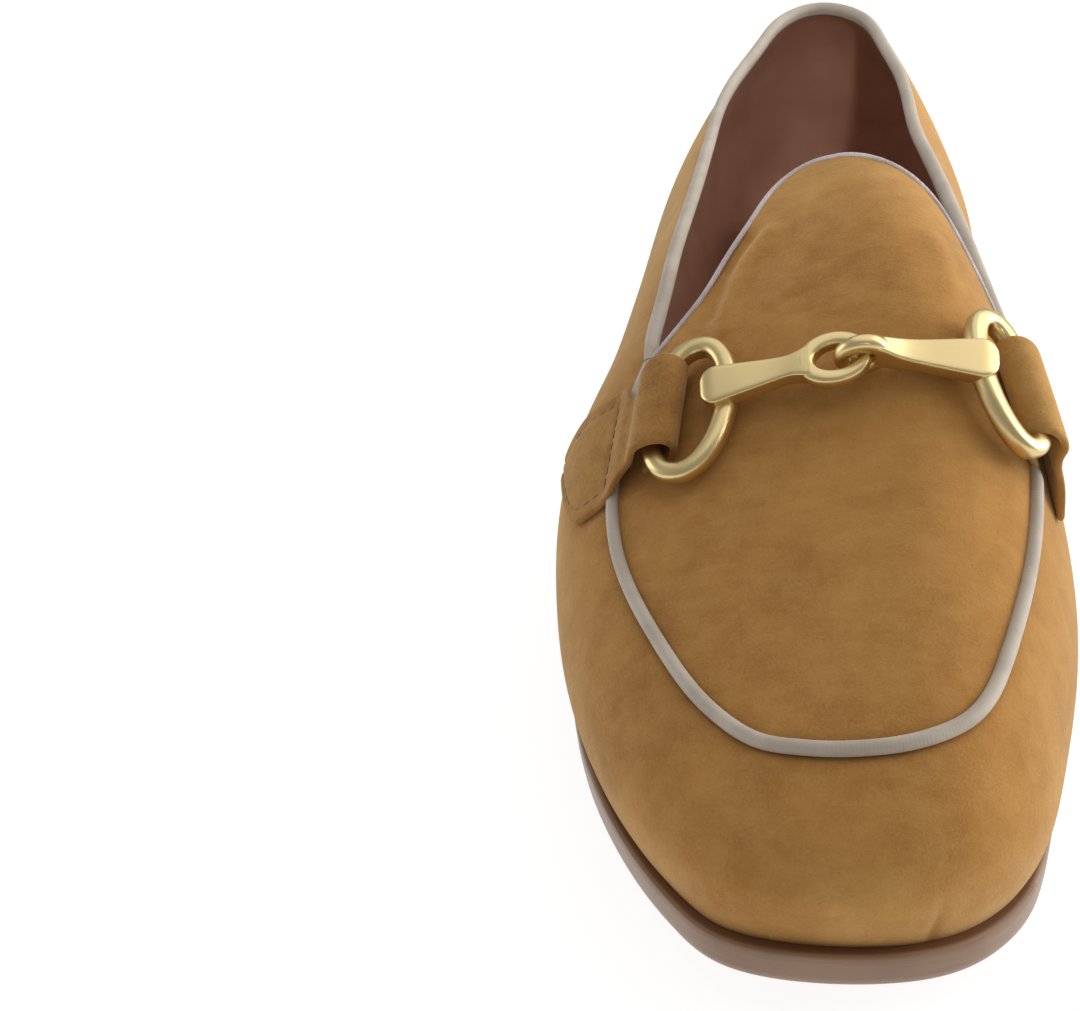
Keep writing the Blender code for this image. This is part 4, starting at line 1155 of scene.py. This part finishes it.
def tab_rings(name):
    """Rings of the strap, thinned to nothing at both ends and pressed along its stitch lines."""
    path = tab_path(name)
    along = unit(np.gradient(path, axis=0))
    normal = np.column_stack((along[:, 1], -along[:, 0]))
    ring = strap_section()
    travelled = run(path, 0)
    to_end = np.minimum(travelled, travelled[-1] - travelled)
    short = 1.0 - np.clip(to_end / (STRAP / 2.0), 0.0, 1.0)
    half = STRAP / 2.0 * np.sqrt(1.0 - short**2)[:, None]
    rear, front = tab_edges(name, path[:, 0])
    width = (front - rear)[:, None]
    on_flat = ((travelled[:, None] < travelled[TAB_STEPS // 2]) & (ring[:, 1] >= 1.0)).astype(float)
    to_edge = np.minimum(ring[:, 0], 1.0 - ring[:, 0]) * width
    out = path[:, :1]
    past_row = out - STITCH_ROW_OUT[name]
    beyond = np.clip(past_row, 0.0, 1.0)
    lines = np.exp(-((past_row / STITCH_PRESS_WIDTH) ** 2)) * (to_edge > STITCH_ROW_MARGIN)
    lines = np.maximum(lines, np.exp(-(((to_edge - STITCH_INSET) / STITCH_PRESS_WIDTH) ** 2)) * beyond)
    offset = half * (ring[:, 1] - STITCH_PRESS / (STRAP / 2.0) * lines * on_flat)
    layer = path[:, None] + normal[:, None] * offset[..., None]
    share = ring[:, 0] + ring[:, 2] * half / width
    rings = tab_point(name, share, layer[..., 0], layer[..., 1])
    return np.concatenate((rings, rings[:, :1]), axis=1)


def tab_stitch_lines(name):
    """Two rows along the edges of the flat and one across it below the loop."""
    middle = np.array(TAB_FLAT[name])[::-1]
    out = np.linspace(STITCH_ROW_OUT[name], TAB_REACH[name] - STITCH_END, STITCH_POINTS)
    up = np.interp(out, middle[:, 0], middle[:, 1]) + STRAP / 2.0 - STITCH_PRESS
    rear, front = tab_edges(name, out)
    near = STITCH_INSET / (front - rear)
    lines = [tab_point(name, share, out, up) for share in (near, 1.0 - near)]
    share = np.linspace(*STITCH_ROW_SHARES, STITCH_POINTS)
    row = np.full(STITCH_POINTS, out[0])
    lines.append(tab_point(name, share, row, np.full(STITCH_POINTS, up[0])))
    return lines


brown_thread = thread_finish("brown_thread", *THREAD_BROWN)
for name in SIDE:
    make_piece(
        "tab_" + name + "_strap",
        [tube_patch(tab_rings(name))],
        tab_suede,
        "tab_" + name,
        # painted light on the medial strap, nothing on the lateral one
        nap=lambda places, lightness=TAB_PAINTED_LIGHT[name]: np.full(len(places), lightness),
    )
    patches = []
    for line in tab_stitch_lines(name):
        patches += stitch_patches(line, vamp_normal(in_plan(line)), *TAB_STITCH)
    make_piece("tab_" + name + "_stitches", patches, brown_thread, "tab_" + name, covers=False)

# %% [markdown]
# ## The bit
# The bit is cast in two halves.  Each has a D-shaped ring for the tab, a flat bar that
# widens towards the ring, and an eye at the middle that links into the other half.
# The metal is a pale gold with a satin brushing: rough enough to blur what it mirrors.

# %% Pale gold
GOLD_DEEP = (0.700, 0.540, 0.250, 1.0)
GOLD_PALE = (0.800, 0.640, 0.330, 1.0)


def gold_finish(name):
    """Metal between two golds by faint clouds, with brushed grain in roughness and bump."""
    finish, shader, place, _ = new_finish(name)
    clouds = place.noise(120.0, 2.0, 0.5)
    grain = place.stretched((0.15, 1.0, 1.0)).noise(2600.0, 3.0, 0.6)
    return dress(
        finish,
        shader,
        Base_Color=(clouds * 0.7 + grain * 0.3).mix(GOLD_DEEP, GOLD_PALE),
        Metallic=1.0,
        Roughness=0.26 + grain * 0.14,
        Normal=grain.bump(0.03, 0.0001),
    )


pale_gold = gold_finish("pale_gold_satin")
print("gold nodes:", len(pale_gold.node_tree.nodes))

# %% [markdown]
# A curve with a bevel could make a ring, but points carried along a path can have a
# section of their own.  Ring and eye are such tubes along closed paths.  The bar between
# them has a squared section: it flares into its eye and ends round on top of the ring.

# %% The two halves of the bit
BIT_STATION = 182.7
BIT_ACROSS = 6.2
BIT_LIFT = 4.6
RING_SLANT = by_side(-0.275, 0.75)
RING_TILT = by_side(np.radians(3.3), np.radians(1.7))
RING_LIFT = by_side(3.15, 3.5)
RING_WIRE = 1.7
RING_WIDE = by_side(6.4, 4.9)
RING_LONG = by_side(12.75, 11.8)
RING_SQUARENESS = 0.86
RING_STEPS = 120
RING_SIDES = 24
RING_SECTION = 0.72
EYE_OUT = by_side(0.0, 4.2)
EYE_LONG = by_side(4.7, 3.2)
EYE_WIDE = by_side(3.8, 2.7)
EYE_WIRE = by_side(1.1, 1.25)
EYE_SWELL = by_side(0.35, 0.3)
EYE_SINK = 0.95
EYE_SECTION = by_side(0.62, 0.85)
EYE_TURN = by_side(0.0, np.pi / 2.0)
EYE_STEPS = 64
BAR_RISE = by_side(1.3, 1.7)
BAR_OVERLAP = by_side(4.1, 2.0)
BAR_BACK = by_side(1.9, 2.0)
BAR = columns(
    "share lateral medial lateral_depth medial_depth",
    (0.00, 3.30, 1.45, 1.56, 2.50),
    (0.07, 2.70, 1.60, 1.55, 2.30),
    (0.16, 2.20, 1.90, 1.47, 1.85),
    (0.30, 2.25, 2.25, 1.37, 1.47),
    (0.60, 3.05, 3.05, 1.45, 1.45),
    (0.92, 3.90, 3.90, 1.50, 1.50),
)
BAR_END = 0.15
BAR_STEPS = 40
BAR_END_STEPS = 9
BAR_SIDES = 48
BAR_SQUARENESS = 0.24
BAR_END_POWER = 0.85
BAR_DEPTH_POWER = 0.4


def bend_power(values, power):
    """Sign kept, size raised to a power: rounds or squares a circle's cosine or sine."""
    return np.sign(values) * np.abs(values) ** power


def wire(path, up, radius, sides, power):
    """Closed tube along a closed path; its section is a circle squared by a power."""
    along = unit(np.roll(path, -1, axis=0) - np.roll(path, 1, axis=0))
    across = np.cross(along, up)
    angle = np.linspace(0.0, 2.0 * np.pi, sides + 1)[:, None]
    ring = across[:, None] * bend_power(np.cos(angle), power) + up * bend_power(np.sin(angle), power)
    tube = path[:, None] + radius * ring
    return np.concatenate((tube, tube[:1]))


def bit_frame(plan, lengthways, outwards):
    """Vamp point under the bit, with its normal, lengthways and outward axes."""
    normal = vamp_normal(plan)
    across = unit(np.cross(lengthways, normal)) * outwards
    return vamp(plan), normal, np.cross(normal, across) * outwards, across


def ring_wire(name):
    """Tube of a D-shaped ring, and the place where its bar ends."""
    plan = np.array((RING_ACROSS[name], RING_STATION[name]))
    point, normal, long_axis, out = bit_frame(plan, np.array((-RING_SLANT[name], 1.0, 0.0)), SIDE[name])
    centre = point + normal * RING_LIFT[name]
    turn = np.linspace(0.0, 2.0 * np.pi, RING_STEPS, endpoint=False)
    power = np.where(np.cos(turn) > 0.0, RING_SQUARENESS, 1.0)
    wide = bend_power(np.cos(turn), power)[:, None] * RING_WIDE[name]
    long = bend_power(np.sin(turn), power)[:, None] * RING_LONG[name]
    sunk = (wide - RING_WIDE[name]) * np.sin(RING_TILT[name])
    path = centre + out * wide + long_axis * long + normal * sunk
    closed = np.vstack((path, path[:1]))
    travelled = run(closed, 0)
    path = along_line(np.linspace(0.0, travelled[-1], RING_STEPS, endpoint=False), travelled, closed)
    bar_end = centre - out * (RING_WIDE[name] - BAR_OVERLAP[name]) + long_axis * BAR_BACK[name]
    return wire(path, normal, RING_WIRE, RING_SIDES, RING_SECTION), bar_end + normal * BAR_RISE[name]


def bit_half(name):
    """Ring, eye and bar of one half; the bar runs straight from the eye over the ring."""
    ring, end = ring_wire(name)
    plan = np.array((BIT_ACROSS, BIT_STATION))
    point, normal, long_axis, out = bit_frame(plan, np.array((0.0, 1.0, 0.0)), SIDE[name])
    eye_centre = point + normal * BIT_LIFT + out * EYE_OUT[name]
    turned = long_axis * np.cos(EYE_TURN[name]) + normal * np.sin(EYE_TURN[name])
    angle = np.linspace(0.0, 2.0 * np.pi, EYE_STEPS, endpoint=False)[:, None]
    eye_path = eye_centre + out * np.cos(angle) * EYE_LONG[name] + turned * np.sin(angle) * EYE_WIDE[name]
    thick = EYE_WIRE[name] + EYE_SWELL[name] * (1.0 + np.cos(angle)) / 2.0
    eye = wire(eye_path, np.cross(out, turned), thick[..., None], RING_SIDES, EYE_SECTION[name])
    start = eye_centre + out * (EYE_LONG[name] - EYE_SINK)
    bar_axis = unit(end - start)
    wide_axis = unit(np.cross(normal, bar_axis))
    deep_axis = np.cross(bar_axis, wide_axis)
    share = np.linspace(0.0, 1.0 - BAR_END, BAR_STEPS)
    round_off = np.linspace(0.0, np.pi / 2.0, BAR_END_STEPS)[1:]
    places = np.concatenate((share, 1.0 - BAR_END + BAR_END * np.sin(round_off)))
    ending = np.concatenate((np.ones(BAR_STEPS), np.cos(round_off)))
    body = np.minimum(places, 1.0 - BAR_END)
    half_width = spline(BAR["share"], BAR[name], body) * ending**BAR_END_POWER
    half_depth = spline(BAR["share"], BAR[name + "_depth"], body) * ending**BAR_DEPTH_POWER
    angle = np.linspace(0.0, 2.0 * np.pi, BAR_SIDES, endpoint=False)
    wide = half_width[:, None] * bend_power(np.cos(angle), BAR_SQUARENESS)
    deep = half_depth[:, None] * bend_power(np.sin(angle), BAR_SQUARENESS)
    middle = start + (end - start) * places[:, None]
    bar = capped(middle[:, None] + wide[..., None] * wide_axis + deep[..., None] * deep_axis)
    return [(grid, chart_of(grid)) for grid in (ring, eye, bar)]


for name in SIDE:
    make_piece("bit_" + name + "_half", bit_half(name), pale_gold, "bit_" + name)

# %% [markdown]
# ## Sole, heel and insole
# The sole is leather, nearly six millimetres thick at its edge, with a dark line under
# the upper and a burnished side.  Each slab is a row of closed rings from heel to toe.
# Rows are crowded at both ends by a cosine, so the blunt toe stays round.

# %% Slabs that follow the sole's plan
SLAB_ROWS = 190
ACROSS_STEPS = 9
SOLE_EDGE = 5.7
LEDGE = columns(
    "station lateral medial",
    (0.0, 1.6, 1.6),
    (60.0, 1.2, 1.2),
    (130.0, 1.6, 1.6),
    (190.0, 2.0, 2.3),
    (225.0, 1.45, 1.05),
    (259.7, 2.4, 2.4),
)


def slab(levels, breast=None):
    """Rings of a slab; each level is an edge distance, a height function and a chart value.

    Both sides of the first row are drawn to their middle, which closes the back of the heel.
    """
    turns = np.linspace(0.0, TURN_END, OUTLINE_SAMPLES)
    lateral, medial = [], []
    for out, height, _ in levels:
        edge = feather(turns, out(turns))
        tip = int(np.argmax(edge[:, 1]))
        end = edge[tip, 1] if breast is None else breast
        half = np.pi if breast is None else np.pi / 2.0
        share = (1.0 - np.cos(np.linspace(0.0, half, SLAB_ROWS))) / (1.0 - np.cos(half))
        station = edge[0, 1] + (end - edge[0, 1]) * share
        left = np.interp(station, edge[: tip + 1, 1], edge[: tip + 1, 0])
        right = np.interp(station, edge[tip:, 1][::-1], edge[tip:, 0][::-1])
        lateral.append(in_space(np.column_stack((left, station)), height(station)))
        medial.append(in_space(np.column_stack((right, station)), height(station)))
    seams = [(left[:1] + right[:1]) / 2.0 for left, right in zip(lateral, medial)]
    lateral = [np.concatenate((seam, side)) for seam, side in zip(seams, lateral)]
    medial = [np.concatenate((seam, side)) for seam, side in zip(seams, medial)]
    across = np.linspace(0.0, 1.0, ACROSS_STEPS + 2)[1:-1, None, None]
    low = lateral[-1] * (1.0 - across) + medial[-1] * across
    high = medial[0] * (1.0 - across) + lateral[0] * across
    rings = np.stack(lateral + list(low) + medial[::-1] + list(high) + lateral[:1], axis=1)
    values = [value for _, _, value in levels]
    under, over = [values[-1] - 1.0] * ACROSS_STEPS, [values[0] + 1.0] * ACROSS_STEPS
    level_chart = np.array(values + under + values[::-1] + over + values[:1])
    chart = np.stack(np.broadcast_arrays(run(rings[:, 0], 0)[:, None], level_chart), axis=-1)
    if breast is not None:
        middle = np.broadcast_to(rings[-1:].mean(axis=1, keepdims=True), rings[-1:].shape)
        rings, chart = np.concatenate((rings, middle)), np.concatenate((chart, chart[-1:]))
    return [(rings, chart)]


def sole_top(station):
    """Height of the outsole's upper face."""
    return rise("seat", station)


def sole_tread(station):
    """Height of the outsole's lower face, flat under the ball of the foot."""
    return np.maximum(rise("seat", station) - SOLE_EDGE, 0.0)


def ledge(turn):
    """How far the outsole stands out from the feather line, by its own column on either side."""
    station = outline(turn)[..., 1]
    sides = [spline(LEDGE["station"], LEDGE[key], station) for key in ("lateral", "medial")]
    return np.where(np.mod(turn, TURN_END) < TIP_TURN, *sides)


def edge_levels(profile, base, top):
    """Levels of a slab from rows of inset and share of the height."""
    return [
        (
            lambda turn, inset=inset: ledge(turn) - inset,
            lambda station, share=share: base(station) + share * (top(station) - base(station)),
            share,
        )
        for inset, share in profile
    ]


print("sole edge in mm:", SOLE_EDGE)

# %% [markdown]
# An extruded outline would give the outsole a plain edge.  Rows of inset and share of
# the height draw it nearly upright, and rounded above and below.  The chart holds that
# share, so the finish can tell the side from the tread, darken the top edge with a stain
# and painted shade under the upper, and paint the lower side paler with light from the floor.

# %% Outsole
SOLE_PROFILE = ((1.05, 1.0), (0.50, 0.985), (0.16, 0.955), (0.0, 0.90), (0.0, 0.70), (0.0, 0.50))
SOLE_PROFILE += ((0.05, 0.25), (0.15, 0.10), (0.35, 0.03), (0.60, 0.0))
SOLE_STAIN_AND_SHADE = (0.150, 0.066, 0.028, 1.0)
SOLE_BROWN = (0.215, 0.110, 0.052, 1.0)
SOLE_PALE = (0.280, 0.165, 0.088, 1.0)
TREAD_BROWN = (0.330, 0.190, 0.105, 1.0)


def sole_finish(name):
    """Burnished edge: a dark stain with painted shade above, painted floor light towards the tread, with
    fine streaks along the layers.
    """
    finish, shader, place, chart = new_finish(name)
    height = chart.part(1)
    streaks = chart.stretched((0.05, 9.0, 1.0)).noise(2.2, 3.0, 0.6)
    grain = place.noise(1500.0, 3.0, 0.6)
    clouds = place.noise(90.0, 2.0, 0.5)
    side = (streaks * 0.6 + clouds * 0.5).between(0.3, 0.8).mix(SOLE_BROWN, SOLE_PALE)
    # painted light: the lower side turns paler towards the tread, as lit by the white floor
    painted_floor_light = height.between(0.30, 0.02).mix(side, SOLE_PALE)
    # dark stain on the top edge, with painted shade where the upper overhangs it
    stain_and_shade = height.between(0.984, 1.0).mix(painted_floor_light, SOLE_STAIN_AND_SHADE)
    colour = height.between(-0.05, -0.4).mix(stain_and_shade, TREAD_BROWN)
    return dress(
        finish,
        shader,
        Base_Color=colour,
        Roughness=0.36 + grain * 0.18,
        Coat_Weight=0.30,
        Coat_Roughness=0.30,
        Normal=(streaks * 0.5 + grain * 0.5).bump(0.12, 0.0002),
    )


sole_leather = sole_finish("burnished_sole_leather")
sole_rings = slab(edge_levels(SOLE_PROFILE, sole_tread, sole_top))
make_piece("outsole_leather", sole_rings, sole_leather, "outsole")

# %% [markdown]
# The heel is a low stack of leather lifts over a rubber top piece.  The lines between
# the lifts are real grooves in its side, and the chart tells the finish which lift it
# is on, so every lift has its own tone.  The insole lies inside the feather line.

# %% Heel and insole
HEEL_GAP = 0.05
LIFTS = 4
LIFT_GROOVE = 0.28
LIFT_INSETS = np.array((0.9, 1.25))
LIFT_STEP = 0.35
LIFT_ROUND = 0.025
LIFT_CUT = 0.004
HEEL_BREAST = 66.0
HEEL_FOOT = ((2.1, 0.02), (2.5, 0.0))
HEEL_TONES = ((0.150, 0.062, 0.030, 1.0), (0.260, 0.118, 0.062, 1.0))
RUBBER = (0.030, 0.022, 0.018, 1.0)
RUBBER_LINE = (0.26, 0.24)
INSOLE_ROWS = ((2.7, 2.3, 1.0), (2.2, 2.0, 0.6), (2.2, 0.3, 0.0))


def heel_profile():
    """Rows of inset and share: straight lifts drawn in towards the floor, with a groove between."""
    rows = []
    for lift in range(LIFTS):
        top, low = 1.0 - lift / LIFTS, 1.0 - (lift + 1) / LIFTS
        upper, lower = LIFT_INSETS + LIFT_STEP * lift
        rows += [(upper + LIFT_GROOVE, top), (upper, top - LIFT_ROUND), (lower, low + LIFT_ROUND)]
        rows += [(lower + LIFT_GROOVE, low + LIFT_CUT)]
    return tuple(rows[:-1]) + HEEL_FOOT


def heel_finish(name):
    """Stacked leather: a tone for each lift, layer streaks along it, and rubber below."""
    finish, shader, place, chart = new_finish(name)
    height = chart.part(1)
    lift = (height * LIFTS).maths("FLOOR")
    tone = lift.node("ShaderNodeTexWhiteNoise", {"noise_dimensions": "1D"}, {"W": lift})
    streaks = chart.stretched((0.06, 30.0, 1.0)).noise(2.0, 3.0, 0.6)
    colour = (tone * 0.4 + streaks * 0.6).mix(*HEEL_TONES)
    colour = height.between(*RUBBER_LINE).mix(colour, RUBBER)
    grain = place.noise(1500.0, 3.0, 0.6)
    return dress(
        finish,
        shader,
        Base_Color=colour,
        Roughness=0.40 + grain * 0.2,
        Normal=(streaks + grain).bump(0.1, 0.0002),
    )


def heel_top(station):
    """Height of the heel's upper face, just under the outsole."""
    return sole_tread(station) - HEEL_GAP


def insole_level(inset, up, value):
    """Level of the insole at a distance inside the feather line and a height over the sole."""
    return lambda turn: np.full(np.shape(turn), -inset), lambda station: sole_top(station) + up, value


stacked = heel_finish("stacked_heel_leather")
heel_rings = slab(edge_levels(heel_profile(), np.zeros_like, heel_top), HEEL_BREAST)
make_piece("heel_stack", heel_rings, stacked, "heel")
insole_leather = leather_finish("insole_leather", LINING_DARK, LINING_LIGHT, 0.52, 1100.0)
insole_rings = slab([insole_level(*row) for row in INSOLE_ROWS])
make_piece("insole_sock", insole_rings, insole_leather, "insole")

# %% [markdown]
# ## Floor and studio light
# The shoe stands on white paper that glows a little, so that it stays white in the
# picture.  A broad lamp above and a little behind throws the bit's shadow towards the
# toe, two lamps on the right and a weak one on the left light the edges, and a narrow
# spot reaches into the mouth.  A white world gives the metal something to mirror.

# %% Stage and light
FLOOR_HALF = 3.0
FLOOR_BASE = (0.22, 0.22, 0.22, 1.0)
WHITE = (1.0, 1.0, 1.0, 1.0)
FLOOR_GLOW = 0.88
WORLD_STRENGTH = 0.34
LAMPS = (
    ("overhead_lamp", (0.10, 0.36, 1.00), 1.6, 4.4),
    ("right_lamp", (0.80, 0.25, 0.62), 1.0, 3.8),
    ("right_edge_lamp", (1.00, 0.20, 0.22), 0.6, 6.0),
    ("left_edge_lamp", (-0.90, 0.15, 0.30), 0.6, 1.6),
)
MOUTH_LAMP = (0.14, -0.58, 0.40)
MOUTH_TARGET = (-0.006, 0.100, 0.058)
MOUTH_CONE = np.radians(5.5)
MOUTH_POWER = 19.0
MOUTH_BLEND = 0.8
MOUTH_SOFTNESS = 0.05
LAMP_TARGET = (0.0, 0.0, 0.03)


def floor_finish():
    """White paper with a trace of tooth and a faint glow."""
    finish, shader, place, _ = new_finish("white_paper")
    tooth = place.noise(700.0, 2.0, 0.5)
    return dress(
        finish,
        shader,
        Base_Color=FLOOR_BASE,
        Roughness=0.85 + tooth * 0.1,
        Normal=tooth.bump(0.02, 0.0001),
        Emission_Color=WHITE,
        Emission_Strength=FLOOR_GLOW,
    )


corner = FLOOR_HALF * np.array(((-1.0, -1.0, 0.0), (1.0, -1.0, 0.0), (1.0, 1.0, 0.0), (-1.0, 1.0, 0.0)))
floor_mesh = bpy.data.meshes.new("floor")
floor_mesh.from_pydata(corner.tolist(), [], [(0, 1, 2, 3)])
floor_mesh.materials.append(floor_finish())
floor = bpy.data.objects.new("floor", floor_mesh)
bpy.context.scene.collection.objects.link(floor)

world = bpy.data.worlds.new("studio")
world.use_nodes = True
background = world.node_tree.nodes["Background"]
background.inputs["Color"].default_value = WHITE
background.inputs["Strength"].default_value = WORLD_STRENGTH
bpy.context.scene.world = world
bpy.context.scene.view_settings.view_transform = "Standard"


def aim_matrix(place, target):
    """Matrix of a lamp that looks from its place at a target."""
    back = unit(np.array(place) - np.array(target))
    right = unit(np.cross((0.0, 0.0, 1.0), back))
    matrix = np.eye(4)
    matrix[:3] = np.column_stack((right, np.cross(back, right), back, place))
    return Matrix(matrix.tolist())


for name, place, size, power in LAMPS:
    lamp = bpy.data.lights.new(name, "AREA")
    lamp.shape = "DISK"
    lamp.size = size
    lamp.energy = power
    lamp_object = bpy.data.objects.new(name, lamp)
    lamp_object.matrix_world = aim_matrix(place, LAMP_TARGET)
    bpy.context.scene.collection.objects.link(lamp_object)
spot = bpy.data.lights.new("mouth_lamp", "SPOT")
spot.energy = MOUTH_POWER
spot.spot_size = MOUTH_CONE
spot.spot_blend = MOUTH_BLEND
spot.shadow_soft_size = MOUTH_SOFTNESS
spot_object = bpy.data.objects.new("mouth_lamp", spot)
spot_object.matrix_world = aim_matrix(MOUTH_LAMP, MOUTH_TARGET)
bpy.context.scene.collection.objects.link(spot_object)
print("lamps:", [lamp[0] for lamp in LAMPS] + [spot.name])

# %% [markdown]
